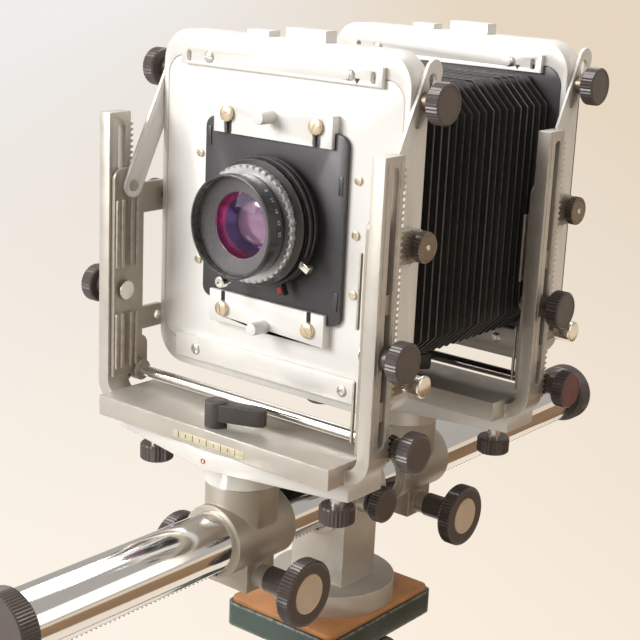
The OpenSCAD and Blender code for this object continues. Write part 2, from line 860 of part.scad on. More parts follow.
// Ring with a tab, turning on the shutter body
module ring_lever(y0, y1, turn, reach) {
    rotate([0, -turn, 0]) difference() {
        union() {
            y_rod(shutter_r + 2, y0, y1);
            block(shutter_r, shutter_r + reach, y0, y1, -2, 2);
        }
        y_rod(shutter_r + run, y0 - 1, y1 + 1);
    }
}

module cocking_lever() {
    color("silver") ring_lever(shutter_front + 3, shutter_front + 5.5, -28, 9);
}

module aperture_lever() {
    color([0.1, 0.1, 0.1]) ring_lever(shutter_front + 7, shutter_front + 9, -66, 8);
}

// ---------- bellows and back ----------

module bellows() {
    start = front_y + frame_d + 2.5;
    end = rear_y - 0.5;
    step = (end - start) / folds;
    wall = 1.2;
    corner = sqrt(2);
    outer = [for (i = [0 : 2 * folds]) [
        (i % 2 == 0 ? fold_out - fold_in : fold_out) * corner, start + i * step / 2]];
    inner = [for (i = [2 * folds : -1 : 0]) [
        (i % 2 == 0 ? fold_out - fold_in - wall : fold_out - wall) * corner, start + i * step / 2]];
    color([0.05, 0.05, 0.05]) translate([0, 0, lens_z]) {
        rotate([-90, 0, 0]) rotate([0, 0, 45]) rotate_extrude($fn = 4) polygon(concat(outer, inner));
        difference() {
            block(-75, 75, start - 2.2, start - 0.2, -75, 75);
            block(-opening / 2 + 8, opening / 2 - 8, start - 3, start, -opening / 2 + 8, opening / 2 - 8);
        }
    }
}

module bellows_plate() {
    hole = fold_out - fold_in - 2;
    color([0.07, 0.07, 0.07]) difference() {
        along_y(0, board_t) round_rect(board - 0.2, board - 0.2, board_corner_r);
        block(-hole, hole, -1, board_t + 1, -hole, hole);
    }
}

glass_w = 128;
glass_h = 104;
back_t = 8;

module back_frame() {
    color([0.09, 0.09, 0.09]) translate([0, frame_d, 0]) difference() {
        along_y(0, back_t) round_rect(board, board, 6);
        block(-glass_w / 2, glass_w / 2, -1, back_t + 1, -glass_h / 2, glass_h / 2);
    }
}

// Ground glass in its sprung frame, with two leaf springs
module ground_glass() {
    y0 = frame_d + back_t + gap;
    color([0.75, 0.78, 0.76]) translate([0, y0, 0]) {
        difference() {
            along_y(0, 7) round_rect(glass_w + 22, glass_h + 22, 4);
            block(-glass_w / 2, glass_w / 2, -1, 8, -glass_h / 2, glass_h / 2);
        }
        block(-glass_w / 2, glass_w / 2, 1, 3.5, -glass_h / 2, glass_h / 2);
    }
}

// ---------- assembly ----------

tripod_crown();
leg_upper(0);  // leg_upper_1
leg_upper(1);  // leg_upper_2
leg_upper(2);  // leg_upper_3
leg_lower(0);  // leg_lower_1
leg_lower(1);  // leg_lower_2
leg_lower(2);  // leg_lower_3
pan_base();
tilt_platform();
platform_pads();
tilt_lock();
rail_tube();
rail_rack();
rail_caps();
tripod_block();
block_lock();
at_front() carrier();  // front_block
at_front() focus_knobs(front_y - swing_y);  // front_focus_knobs
at_front() base_plate();  // front_base_plate
at_front() base_screws();  // front_base_screws
at_front() yoke();  // front_yoke
at_front() shift_lever();  // front_shift_lever
at_front() brackets();  // front_brackets
at_front() rise_locks();  // front_rise_locks
at_front() rise_pinion();  // front_rise_pinion
at_front() frame_casting();  // front_frame
at_front() tilt_links();  // front_tilt_links
at_front() link_knobs();  // front_link_knobs
at_front() tilt_knobs();  // front_tilt_knobs
at_front() latch_bar();  // front_latch_bar
at_front() detent();  // front_detent
at_rear() carrier();  // rear_block
at_rear() focus_knobs(rear_y - swing_y);  // rear_focus_knobs
at_rear() base_plate();  // rear_base_plate
at_rear() base_screws();  // rear_base_screws
at_rear() yoke();  // rear_yoke
at_rear() shift_lever();  // rear_shift_lever
at_rear() brackets();  // rear_brackets
at_rear() rise_locks();  // rear_rise_locks
at_rear() rise_pinion();  // rear_rise_pinion
at_rear() frame_casting();  // rear_frame
at_rear() tilt_links();  // rear_tilt_links
at_rear() link_knobs();  // rear_link_knobs
at_rear() tilt_knobs();  // rear_tilt_knobs
at_rear() latch_bar();  // rear_latch_bar
at_rear() detent();  // rear_detent
at_front() adapter_board();
at_front() lens_board();
at_front() board_slider();
at_front() board_retainer();
at_front() shutter_body();
at_front() speed_ring();
at_front() lens_barrels();
at_front() lens_elements();
at_front() cocking_lever();
at_front() aperture_lever();
bellows();
at_rear() bellows_plate();
at_rear() back_frame();
at_rear() ground_glass();
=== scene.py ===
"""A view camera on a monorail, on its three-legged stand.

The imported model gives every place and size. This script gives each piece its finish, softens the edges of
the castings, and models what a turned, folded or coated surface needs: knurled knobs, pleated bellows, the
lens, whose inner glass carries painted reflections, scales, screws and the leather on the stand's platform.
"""

import json
import logging
import math
from dataclasses import dataclass, field
from enum import Enum
from typing import Callable, Sequence

import bmesh
import bpy
from mathutils import Matrix, Vector

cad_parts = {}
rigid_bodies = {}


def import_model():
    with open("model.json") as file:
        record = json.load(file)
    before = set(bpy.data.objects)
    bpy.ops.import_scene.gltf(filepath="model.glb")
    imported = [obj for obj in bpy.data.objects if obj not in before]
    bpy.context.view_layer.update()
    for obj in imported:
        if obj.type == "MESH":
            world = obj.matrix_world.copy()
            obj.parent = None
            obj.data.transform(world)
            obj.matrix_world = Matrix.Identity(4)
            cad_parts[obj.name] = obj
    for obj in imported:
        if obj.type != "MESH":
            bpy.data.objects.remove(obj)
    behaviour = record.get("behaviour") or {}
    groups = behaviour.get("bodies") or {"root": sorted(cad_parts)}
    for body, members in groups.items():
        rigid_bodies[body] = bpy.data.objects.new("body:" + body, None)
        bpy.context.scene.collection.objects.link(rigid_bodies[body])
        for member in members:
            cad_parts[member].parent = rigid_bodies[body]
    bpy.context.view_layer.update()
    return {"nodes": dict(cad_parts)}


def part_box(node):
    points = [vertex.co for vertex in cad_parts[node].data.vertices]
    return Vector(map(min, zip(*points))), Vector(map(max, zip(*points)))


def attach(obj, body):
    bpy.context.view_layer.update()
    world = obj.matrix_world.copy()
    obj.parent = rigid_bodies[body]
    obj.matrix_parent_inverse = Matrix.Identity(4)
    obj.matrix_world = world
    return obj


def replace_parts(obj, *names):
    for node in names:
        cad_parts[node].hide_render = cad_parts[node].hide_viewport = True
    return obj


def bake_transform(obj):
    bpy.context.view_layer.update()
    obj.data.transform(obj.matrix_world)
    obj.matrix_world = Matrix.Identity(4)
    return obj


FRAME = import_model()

LOG = logging.getLogger("view_camera")
MM = 0.001
FOCUS_SHAFT = 23 * MM
FOCUS_BOSS = 22.3 * MM
BLOCK_SIDE = 26.3 * MM
TILT_FORK = 21.9 * MM
BOARD_HOLE = 17.4 * MM
BEVEL_FACES = 2
BEVEL_ANGLE = 30.0
SIDES = (("left", -1), ("right", 1))
Point = tuple[float, float, float]
Pair = tuple[float, float]


class Axis(Enum):
    """A row axis, with the unit vectors that an outline and its depth run along."""

    X = (Vector((1, 0, 0)), Vector((0, 1, 0)), Vector((0, 0, 1)))
    Y = (Vector((0, 1, 0)), Vector((1, 0, 0)), Vector((0, 0, 1)))
    Z = (Vector((0, 0, 1)), Vector((1, 0, 0)), Vector((0, 1, 0)))

    def place(self, along: float, u: float, v: float) -> Vector:
        """Returns the point at a distance along the axis and at u and v across it."""
        depth, first, second = self.value
        return depth * along + first * u + second * v


# ---------------------------------------------------------------- finishes


class Graph:
    """A material's node tree, with one short method for each kind of node."""

    def __init__(self, name: str) -> None:
        """Makes the material and finds its shader.

        Args:
            name: The material's name.
        """
        self.material = bpy.data.materials.new(name)
        self.material.use_nodes = True
        self.tree = self.material.node_tree
        self.shader = self.tree.nodes["Principled BSDF"]
        self.coordinates = self.tree.nodes.new("ShaderNodeTexCoord").outputs["Object"]

    def link(self, source: bpy.types.NodeSocket, target: bpy.types.NodeSocket) -> None:
        """Joins two sockets."""
        self.tree.links.new(source, target)

    def stretched(self, scale: Point) -> bpy.types.NodeSocket:
        """Returns object coordinates scaled along each axis."""
        node = self.tree.nodes.new("ShaderNodeMapping")
        node.inputs["Scale"].default_value = scale
        self.link(self.coordinates, node.inputs["Vector"])
        return node.outputs["Vector"]

    def noise(self, scale: float, detail: float = 4.0, stretch: Point | None = None) -> bpy.types.NodeSocket:
        """Returns a noise value.

        Args:
            scale: Features per metre.
            detail: Octaves of finer noise.
            stretch: Scale along each axis, for streaks.

        Returns:
            The noise texture's value socket.
        """
        node = self.tree.nodes.new("ShaderNodeTexNoise")
        node.inputs["Scale"].default_value = scale
        node.inputs["Detail"].default_value = detail
        self.link(self.stretched(stretch) if stretch else self.coordinates, node.inputs["Vector"])
        return node.outputs["Fac"]

    def cells(self, scale: float) -> bpy.types.NodeSocket:
        """Returns the distance inside a pattern of cells."""
        node = self.tree.nodes.new("ShaderNodeTexVoronoi")
        node.inputs["Scale"].default_value = scale
        self.link(self.coordinates, node.inputs["Vector"])
        return node.outputs["Distance"]

    def spread(self, value: bpy.types.NodeSocket, low: float, high: float,
               start: float = 0.3, end: float = 0.7) -> bpy.types.NodeSocket:
        """Returns value mapped from start..end onto low..high."""
        node = self.tree.nodes.new("ShaderNodeMapRange")
        for name, number in (("From Min", start), ("From Max", end), ("To Min", low), ("To Max", high)):
            node.inputs[name].default_value = number
        self.link(value, node.inputs["Value"])
        return node.outputs["Result"]

    def blend(self, share: bpy.types.NodeSocket, first: Sequence[float] | bpy.types.NodeSocket,
              second: Sequence[float]) -> bpy.types.NodeSocket:
        """Returns a colour between first and second, by share."""
        node = self.tree.nodes.new("ShaderNodeMix")
        node.data_type = "RGBA"
        self.link(share, node.inputs[0])
        if isinstance(first, bpy.types.NodeSocket):
            self.link(first, node.inputs[6])
        else:
            node.inputs[6].default_value = (*first, 1)
        node.inputs[7].default_value = (*second, 1)
        return node.outputs[2]

    def round_edges(self, radius: float) -> bpy.types.NodeSocket:
        """Returns the normal of a surface whose edges are rounded by radius."""
        node = self.tree.nodes.new("ShaderNodeBevel")
        node.samples = 4
        node.inputs["Radius"].default_value = radius
        return node.outputs["Normal"]

    def edge_mask(self, radius: float) -> bpy.types.NodeSocket:
        """Returns 1 on edges and 0 on open surfaces."""
        geometry = self.tree.nodes.new("ShaderNodeNewGeometry")
        dot = self.tree.nodes.new("ShaderNodeVectorMath")
        dot.operation = "DOT_PRODUCT"
        self.link(self.round_edges(radius), dot.inputs[0])
        self.link(geometry.outputs["Normal"], dot.inputs[1])
        return self.spread(dot.outputs["Value"], 1.0, 0.0, 0.82, 0.99)

    def product(self, first: bpy.types.NodeSocket, second: bpy.types.NodeSocket) -> bpy.types.NodeSocket:
        """Returns the product of two values."""
        node = self.tree.nodes.new("ShaderNodeMath")
        node.operation = "MULTIPLY"
        self.link(first, node.inputs[0])
        self.link(second, node.inputs[1])
        return node.outputs["Value"]

    def bump(self, height: bpy.types.NodeSocket, depth: float, strength: float,
             normal: bpy.types.NodeSocket | None = None) -> None:
        """Gives the shader a bumped normal.

        Args:
            height: The height value.
            depth: Height of the relief in metres.
            strength: Share of the relief that shows.
            normal: The normal that the relief lies on.
        """
        node = self.tree.nodes.new("ShaderNodeBump")
        node.inputs["Strength"].default_value = strength
        node.inputs["Distance"].default_value = depth
        self.link(height, node.inputs["Height"])
        if normal:
            self.link(normal, node.inputs["Normal"])
        self.link(node.outputs["Normal"], self.shader.inputs["Normal"])


@dataclass(frozen=True)
class Finish:
    """A surface with mottled colour, uneven gloss, a fine relief and rubbed edges."""

    name: str
    slot: str
    color: Point
    metallic: float = 0.0
    roughness: float = 0.4
    uneven: float = 0.06
    mottle: float = 0.06
    mottle_scale: float = 45.0
    relief: float = 0.15
    relief_scale: float = 1400.0
    relief_depth: float = 0.0002
    rubbed: Point | None = None
    rubbed_share: float = 0.8
    edge: float = 0.0006
    coat: float = 0.0
    streaks: Point | None = None

    def material(self) -> bpy.types.Material:
        """Returns the material, made the first time it is asked for."""
        found = bpy.data.materials.get(self.name)
        return found or self._make()

    def _make(self) -> bpy.types.Material:
        """Builds the node tree."""
        g = Graph(self.name)
        dark = tuple(c * (1 - self.mottle) for c in self.color)
        light = tuple(min(1.0, c * (1 + self.mottle)) for c in self.color)
        patches = g.noise(self.mottle_scale, 6.0, self.streaks)
        color = g.blend(g.spread(patches, 0.0, 1.0), dark, light)
        normal = g.round_edges(self.edge)
        if self.rubbed:
            scuffs = g.spread(g.noise(self.mottle_scale * 9, 6.0), 0.0, self.rubbed_share, 0.35, 0.6)
            color = g.blend(g.product(g.edge_mask(self.edge * 2), scuffs), color, self.rubbed)
        g.link(color, g.shader.inputs["Base Color"])
        gloss = g.noise(self.mottle_scale * 3, 5.0, self.streaks)
        g.link(g.spread(gloss, self.roughness - self.uneven, self.roughness + self.uneven),
               g.shader.inputs["Roughness"])
        g.bump(g.noise(self.relief_scale, 3.0, self.streaks), self.relief_depth, self.relief, normal)
        g.shader.inputs["Metallic"].default_value = self.metallic
        g.shader.inputs["Coat Weight"].default_value = self.coat
        g.shader.inputs["Coat Roughness"].default_value = 0.15
        return g.material


@dataclass(frozen=True)
class Leather(Finish):
    """Creased leather or coated cloth, with a soft sheen and pebbled grain."""

    sheen: float = 0.3

    def _make(self) -> bpy.types.Material:
        """Builds the node tree."""
        g = Graph(self.name)
        patches = g.spread(g.noise(self.mottle_scale, 8.0), 0.0, 1.0)
        dark = tuple(c * (1 - self.mottle) for c in self.color)
        light = tuple(min(1.0, c * (1 + self.mottle)) for c in self.color)
        color = g.blend(patches, dark, light)
        if self.rubbed:
            scuffs = g.spread(g.noise(self.mottle_scale * 12, 6.0), 0.1, self.rubbed_share, 0.3, 0.6)
            color = g.blend(g.product(g.edge_mask(self.edge * 2), scuffs), color, self.rubbed)
        g.link(color, g.shader.inputs["Base Color"])
        g.link(g.spread(g.noise(self.mottle_scale * 4), self.roughness - self.uneven,
                        self.roughness + self.uneven), g.shader.inputs["Roughness"])
        g.bump(g.cells(self.relief_scale), self.relief_depth, self.relief, g.round_edges(self.edge))
        g.shader.inputs["Sheen Weight"].default_value = self.sheen
        g.shader.inputs["Sheen Roughness"].default_value = 0.4
        return g.material


@dataclass(frozen=True)
class GlassWithPaintedReflection(Finish):
    """A lens surface whose colour runs from one colour at the bottom to another at the top: on the inner
    surfaces this is a painted reflection of the coating, bright above and dark below.
    """

    # The colour at the bottom of the glass, and the heights over which it runs into the top colour; on the
    # inner surfaces the dark bottom colour is painted shade.
    low: Point = (0.05, 0.01, 0.03)
    reflection_span: Pair = (0.8, 0.86)
    clear: float = 0.0
    ior: float = 1.6

    def _make(self) -> bpy.types.Material:
        """Builds the node tree."""
        g = Graph(self.name)
        # Painted reflection: the base colour is graded by height instead of coming from the lights.
        split = g.tree.nodes.new("ShaderNodeSeparateXYZ")
        g.link(g.coordinates, split.inputs["Vector"])
        height = g.spread(split.outputs["Z"], 0.0, 1.0, *self.reflection_span)
        g.link(g.blend(height, self.low, self.color), g.shader.inputs["Base Color"])
        g.link(g.spread(g.noise(300.0), self.roughness, self.roughness + 0.02), g.shader.inputs["Roughness"])
        g.shader.inputs["Transmission Weight"].default_value = self.clear
        g.shader.inputs["Metallic"].default_value = self.metallic
        g.shader.inputs["IOR"].default_value = self.ior
        g.shader.inputs["Coat Weight"].default_value = self.coat
        g.shader.inputs["Coat Roughness"].default_value = 0.02
        return g.material


WHITE_ALLOY = Finish("bright_satin_alloy", "bright_alloy", (0.84, 0.82, 0.785), 0.25, 0.36, 0.07, 0.04, 18.0,
                     0.12, 900.0, 0.00012, (0.9, 0.89, 0.86), 0.6)
BOARD_WHITE = Finish("satin_board", "bright_alloy", (0.88, 0.865, 0.84), 0.1, 0.4, 0.05, 0.02, 12.0,
                     0.06, 1500.0, 0.00008, (0.93, 0.92, 0.9), 0.5, 0.0004)
CASTING = Finish("blasted_casting", "cast_alloy", (0.45, 0.40, 0.335), 0.45, 0.42, 0.08, 0.1, 26.0,
                 0.35, 1100.0, 0.00022, (0.84, 0.81, 0.75), 0.75, 0.0007)
PALE_CASTING = Finish("pale_casting", "cast_alloy", (0.56, 0.52, 0.465), 0.45, 0.38, 0.08, 0.08, 26.0,
                      0.3, 1000.0, 0.0002, (0.88, 0.86, 0.8), 0.8, 0.0007)
CHROME = Finish("polished_chrome", "chrome", (0.86, 0.85, 0.84), 1.0, 0.09, 0.05, 0.05, 8.0,
                0.05, 500.0, 0.00006, None, 0.8, 0.0003, 0.0, (1.0, 0.12, 1.0))
BUTTON_CHROME = Finish("button_chrome", "chrome", (0.84, 0.8, 0.72), 1.0, 0.2, 0.06, 0.06, 90.0,
                       0.08, 1800.0, 0.00008, (0.95, 0.93, 0.88), 0.6, 0.0003)
KNOB = Finish("knob_black", "knob_black", (0.032, 0.026, 0.024), 0.15, 0.34, 0.08, 0.2, 70.0,
              0.2, 2200.0, 0.0001, (0.52, 0.48, 0.47), 0.55, 0.0003, 0.25)
KNOB_FACE = Finish("knob_face", "knob_black", (0.115, 0.09, 0.08), 0.1, 0.42, 0.06, 0.1, 60.0,
                   0.1, 2000.0, 0.00008, (0.3, 0.27, 0.25), 0.6, 0.0003, 0.1)
MAROON_FACE = Finish("maroon_face", "knob_black", (0.16, 0.045, 0.045), 0.1, 0.4, 0.06, 0.12, 60.0,
                     0.1, 2000.0, 0.00008, (0.35, 0.2, 0.2), 0.5, 0.0003, 0.1)
CREAM_INSERT = Finish("cream_insert", "knob_black", (0.73, 0.58, 0.43), 0.0, 0.45, 0.05, 0.06, 80.0,
                      0.12, 900.0, 0.00015, (0.8, 0.7, 0.56), 0.4, 0.0003)
BRONZE = Finish("dark_bronze", "bronze", (0.21, 0.165, 0.125), 0.85, 0.36, 0.08, 0.16, 70.0,
                0.15, 1600.0, 0.0001, (0.55, 0.46, 0.36), 0.7, 0.0003)
BLACK_METAL = Finish("black_enamel", "black_metal", (0.032, 0.031, 0.033), 0.0, 0.36, 0.07, 0.15, 40.0,
                     0.1, 1300.0, 0.0001, (0.3, 0.28, 0.27), 0.5, 0.0004, 0.2)
BOARD_BLACK = Finish("black_board", "black_metal", (0.07, 0.066, 0.072), 0.25, 0.4, 0.06, 0.14, 22.0,
                     0.14, 1500.0, 0.0001, (0.4, 0.38, 0.38), 0.7, 0.0005, 0.1)
LEVER_BLACK = Finish("lever_black", "black_metal", (0.07, 0.062, 0.058), 0.0, 0.5, 0.08, 0.15, 60.0,
                     0.3, 900.0, 0.0002, (0.4, 0.35, 0.31), 0.6, 0.0006)
RACK = Finish("oiled_rack", "rack_steel", (0.19, 0.13, 0.085), 0.8, 0.42, 0.08, 0.2, 90.0,
              0.2, 1400.0, 0.00015, (0.62, 0.46, 0.3), 0.7, 0.0003)
BRASS = Finish("screw_brass", "brass_screw", (0.70, 0.59, 0.43), 0.9, 0.32, 0.06, 0.12, 120.0,
               0.1, 2000.0, 0.00008, (0.9, 0.82, 0.6), 0.6, 0.0002)
STEEL = Finish("screw_steel", "bright_alloy", (0.66, 0.63, 0.58), 0.9, 0.3, 0.06, 0.1, 120.0,
               0.1, 2000.0, 0.00008, (0.9, 0.88, 0.84), 0.6, 0.0002)
SILVER_RING = Finish("silver_ring", "silver_ring", (0.31, 0.295, 0.295), 0.7, 0.36, 0.06, 0.08, 90.0,
                     0.15, 1600.0, 0.0001, (0.85, 0.83, 0.82), 0.8, 0.0003)
CONE = Finish("ribbed_cone", "black_metal", (0.16, 0.15, 0.155), 0.3, 0.5, 0.05, 0.08, 60.0,
              0.2, 1500.0, 0.0001, (0.3, 0.29, 0.29), 0.6, 0.0002)
WELL = Finish("dark_well", "black_metal", (0.006, 0.005, 0.006), 0.0, 0.6, 0.05, 0.2, 60.0,
              0.1, 1500.0, 0.0001)
WHITE_PAINT = Finish("white_paint", "bright_alloy", (0.85, 0.84, 0.82), 0.0, 0.5, 0.04, 0.05, 300.0,
                     0.05, 2500.0, 0.00005)
RED_PAINT = Finish("red_paint", "bright_alloy", (0.72, 0.07, 0.06), 0.0, 0.5, 0.04, 0.12, 300.0,
                   0.05, 2500.0, 0.00005)
DARK_PAINT = Finish("dark_paint", "black_metal", (0.05, 0.045, 0.04), 0.0, 0.5, 0.04, 0.12, 300.0,
                    0.05, 2500.0, 0.00005)
SCALE_BRASS = Finish("scale_strip", "brass_screw", (0.70, 0.62, 0.45), 0.5, 0.42, 0.05, 0.1, 150.0,
                     0.1, 1500.0, 0.00008, (0.85, 0.8, 0.66), 0.6, 0.0002)
GREEN = Finish("green_enamel", "green_casting", (0.045, 0.07, 0.06), 0.1, 0.38, 0.1, 0.25, 30.0,
               0.3, 700.0, 0.0003, (0.5, 0.5, 0.47), 0.95, 0.0014, 0.2)
LEG_BLACK = Finish("leg_enamel", "leg_black", (0.035, 0.037, 0.038), 0.1, 0.34, 0.08, 0.15, 30.0,
                   0.15, 900.0, 0.00015, (0.45, 0.45, 0.44), 0.7, 0.0008, 0.2)
LEG_SILVER = Finish("leg_tube", "leg_silver", (0.66, 0.65, 0.63), 0.95, 0.26, 0.08, 0.06, 14.0,
                    0.08, 900.0, 0.0001, None, 0.8, 0.0004, 0.0, (1.0, 1.0, 0.1))
RUBBER = Finish("foot_rubber", "leg_silver", (0.03, 0.029, 0.028), 0.0, 0.7, 0.08, 0.2, 60.0,
                0.4, 600.0, 0.0003, (0.1, 0.1, 0.1), 0.6, 0.0006)
PAD = Leather("saddle_leather", "pad", (0.56, 0.245, 0.085), 0.0, 0.55, 0.1, 0.28, 38.0,
              0.4, 700.0, 0.0004, (0.7, 0.42, 0.22), 0.7, 0.0008, 0.0, None, 0.15)
PLEATS = Leather("pleated_cloth", "bellows", (0.017, 0.0155, 0.015), 0.0, 0.52, 0.08, 0.3, 30.0,
                 0.35, 900.0, 0.0002, (0.17, 0.145, 0.13), 0.75, 0.0005, 0.0, None, 0.35)
# Painted reflections: the inner glass surfaces carry magenta, purple and mauve reflections painted into their
# base colour at the top, fading to near black or brown at the bottom.
BOWL_PAINTED_REFLECTION = GlassWithPaintedReflection("bowl_painted_reflection", "glass", (0.70, 0.03, 0.28), 0.6, 0.12, coat=0.2,
                          low=(0.03, 0.004, 0.012))
RING_PAINTED_REFLECTION = GlassWithPaintedReflection("ring_painted_reflection", "glass", (0.14, 0.06, 0.34), 0.6, 0.1, coat=0.2,
                          low=(0.008, 0.004, 0.012))
CORE_PAINTED_REFLECTION = GlassWithPaintedReflection("core_painted_reflection", "glass", (0.52, 0.36, 0.5), 0.5, 0.08, coat=0.3,
                          low=(0.2, 0.11, 0.1))
CLEAR_GLASS = GlassWithPaintedReflection("front_glass", "glass", (0.93, 0.88, 0.97), 0.0, 0.0,
                          low=(0.95, 0.9, 0.98), clear=1.0, ior=1.2)
GROUND_GLASS = Finish("ground_glass_surface", "ground_glass", (0.62, 0.66, 0.65), 0.0, 0.55, 0.05, 0.04, 20.0,
                      0.4, 3000.0, 0.0001, (0.8, 0.84, 0.83), 0.5, 0.0004, 0.1)


# ---------------------------------------------------------------- bench work


def clear_selection() -> None:
    """Leaves edit mode and deselects every object."""
    if bpy.context.object and bpy.context.object.mode != "OBJECT":
        bpy.ops.object.mode_set(mode="OBJECT")
    bpy.ops.object.select_all(action="DESELECT")


def take(piece: bpy.types.Object) -> None:
    """Makes piece the only selected object, and the active one."""
    clear_selection()
    piece.select_set(True)
    bpy.context.view_layer.objects.active = piece


def new_mesh(name: str) -> bpy.types.Object:
    """Starts an empty piece in edit mode.

    Args:
        name: The piece's name.

    Returns:
        The new object, active and in edit mode.
    """
    piece = bpy.data.objects.new(name, bpy.data.meshes.new(name))
    bpy.context.scene.collection.objects.link(piece)
    take(piece)
    bpy.ops.object.mode_set(mode="EDIT")
    return piece


def select_points(piece: bpy.types.Object, wanted: Callable[[Vector], bool]) -> None:
    """Selects the vertices of a piece in edit mode by their place.

    Args:
        piece: The piece in edit mode.
        wanted: Says whether a place is selected.
    """
    bpy.ops.mesh.select_mode(type="VERT")
    bpy.ops.mesh.select_all(action="DESELECT")
    mesh = bmesh.from_edit_mesh(piece.data)
    for vertex in mesh.verts:
        vertex.select = wanted(vertex.co)
    mesh.select_flush_mode()
    bmesh.update_edit_mesh(piece.data)


def close_up(piece: bpy.types.Object) -> bpy.types.Object:
    """Merges doubles, turns all faces outwards and leaves edit mode.

    Args:
        piece: The piece in edit mode.

    Returns:
        The same piece, in object mode.
    """
    bpy.ops.mesh.select_all(action="SELECT")
    bpy.ops.mesh.remove_doubles(threshold=2e-6)
    bpy.ops.mesh.normals_make_consistent(inside=False)
    bpy.ops.object.mode_set(mode="OBJECT")
    return piece


def draw_line(points: Sequence[Vector]) -> None:
    """Draws a line of edges through points in the mesh being edited, and leaves it selected."""
    bpy.ops.mesh.primitive_plane_add(size=MM, location=points[0])
    bpy.ops.mesh.merge(type="CENTER")
    for before, after in zip(points, points[1:]):
        bpy.ops.mesh.extrude_region_move(TRANSFORM_OT_translate={"value": after - before})
    bpy.ops.mesh.select_linked()


def turned(name: str, profile: Sequence[Pair], axis: Axis, centre: Pair, steps: int = 48) -> bpy.types.Object:
    """Turns a profile round an axis, as on a lathe.

    Args:
        name: The piece's name.
        profile: Pairs of distance along the axis and radius, in metres.
        axis: The axis of the lathe.
        centre: Where the axis passes, across it.
        steps: Facets round the piece.

    Returns:
        The turned piece.
    """
    piece = new_mesh(name)
    draw_line([axis.place(along, centre[0] + radius, centre[1]) for along, radius in profile])
    bpy.ops.mesh.spin(steps=steps, angle=math.tau, center=axis.place(0, *centre), axis=axis.value[0])
    return close_up(piece)


def slab(name: str, outline: Sequence[Pair], axis: Axis, low: float, high: float) -> bpy.types.Object:
    """Extrudes an outline between two places along an axis.

    Args:
        name: The piece's name.
        outline: Points across the axis.
        axis: The direction of the extrusion.
        low: Where it starts.
        high: Where it ends.

    Returns:
        The extruded piece.
    """
    piece = new_mesh(name)
    draw_line([axis.place(low, u, v) for u, v in outline])
    bpy.ops.mesh.edge_face_add()
    bpy.ops.mesh.extrude_region_move(TRANSFORM_OT_translate={"value": axis.value[0] * (high - low)})
    return close_up(piece)


def bevelled(piece: bpy.types.Object, width: float) -> bpy.types.Object:
    """Bevels a piece's sharp edges for good.

    Args:
        piece: The piece.
        width: Width of the bevel.

    Returns:
        The same piece.
    """
    take(piece)
    modifier = piece.modifiers.new("soft_edges", "BEVEL")
    modifier.width = width
    modifier.segments = BEVEL_FACES
    modifier.limit_method = "ANGLE"
    modifier.angle_limit = math.radians(BEVEL_ANGLE)
    bpy.ops.object.modifier_apply(modifier=modifier.name)
    return piece


def brick(name: str, low: Vector, high: Vector, bevel: float) -> bpy.types.Object:
    """Makes a bevelled bar from its lowest corner to its highest.

    Args:
        name: The piece's name.
        low: The lowest corner.
        high: The highest corner.
        bevel: Width of the bevelled edges.

    Returns:
        The bar.
    """
    piece = new_mesh(name)
    bpy.ops.mesh.primitive_cube_add(size=1, location=(low + high) / 2)
    bpy.ops.transform.resize(value=high - low, center_override=(low + high) / 2)
    return bevelled(close_up(piece), bevel)


def leaning_bar(name: str, middle: Vector, sides: Sequence[Vector]) -> bpy.types.Object:
    """Makes a bar that may lean any way.

    Args:
        name: The piece's name.
        middle: The bar's middle.
        sides: Its three edges, as vectors at right angles.

    Returns:
        The bar, in object mode.
    """
    piece = new_mesh(name)
    bpy.ops.mesh.primitive_cube_add(size=1, location=(0, 0, 0))
    bpy.ops.object.mode_set(mode="OBJECT")
    turn = Matrix(sides).transposed()
    piece.data.transform(Matrix.Translation(middle) @ turn.to_4x4())
    if turn.determinant() < 0:
        piece.data.flip_normals()
    return piece


def joined(name: str, parts: Sequence[bpy.types.Object]) -> bpy.types.Object:
    """Joins parts into one piece.

    Args:
        name: The joined piece's name.
        parts: The parts; the first one gives its material slots.

    Returns:
        The joined piece.
    """
    take(parts[0])
    for part in parts[1:]:
        part.select_set(True)
    bpy.ops.object.join()
    parts[0].name = name
    parts[0].data.name = name
    return parts[0]


def cut(piece: bpy.types.Object, tool: bpy.types.Object) -> bpy.types.Object:
    """Cuts a tool's shape out of a piece and removes the tool.

    Args:
        piece: The piece that is cut.
        tool: The closed shape that is taken away.

    Returns:
        The cut piece.
    """
    take(piece)
    modifier = piece.modifiers.new("cut", "BOOLEAN")
    modifier.operation = "DIFFERENCE"
    modifier.solver = "EXACT"
    modifier.object = tool
    bpy.ops.object.modifier_apply(modifier=modifier.name)
    bpy.data.objects.remove(tool)
    return piece


def softened(node: str, name: str, width: float) -> bpy.types.Object:
    """Copies a node of the frame, merges its triangles and bevels its edges.

    Args:
        node: The frame's node.
        name: The new piece's name.
        width: Width of the bevelled edges.

    Returns:
        The new piece, which stands for the node.
    """
    piece = bpy.data.objects.new(name, FRAME["nodes"][node].data.copy())
    piece.data.materials.clear()
    bpy.context.scene.collection.objects.link(piece)
    take(piece)
    bpy.ops.object.mode_set(mode="EDIT")
    bpy.ops.mesh.select_all(action="SELECT")
    bpy.ops.mesh.remove_doubles(threshold=5e-6)
    bpy.ops.mesh.dissolve_limited(angle_limit=math.radians(0.6))
    bpy.ops.object.mode_set(mode="OBJECT")
    bevelled(piece, width)
    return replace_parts(piece, node)


def coat(piece: bpy.types.Object, finish: Finish, wanted: Callable[[Vector, Vector], bool]) -> None:
    """Gives some faces of a piece a second finish.

    Args:
        piece: The piece.
        finish: The finish of those faces.
        wanted: Says, from a face's centre and normal, whether it gets the finish.
    """
    piece.data.materials.append(finish.material())
    index = len(piece.data.materials) - 1
    for face in piece.data.polygons:
        if wanted(face.center, face.normal):
            face.material_index = index


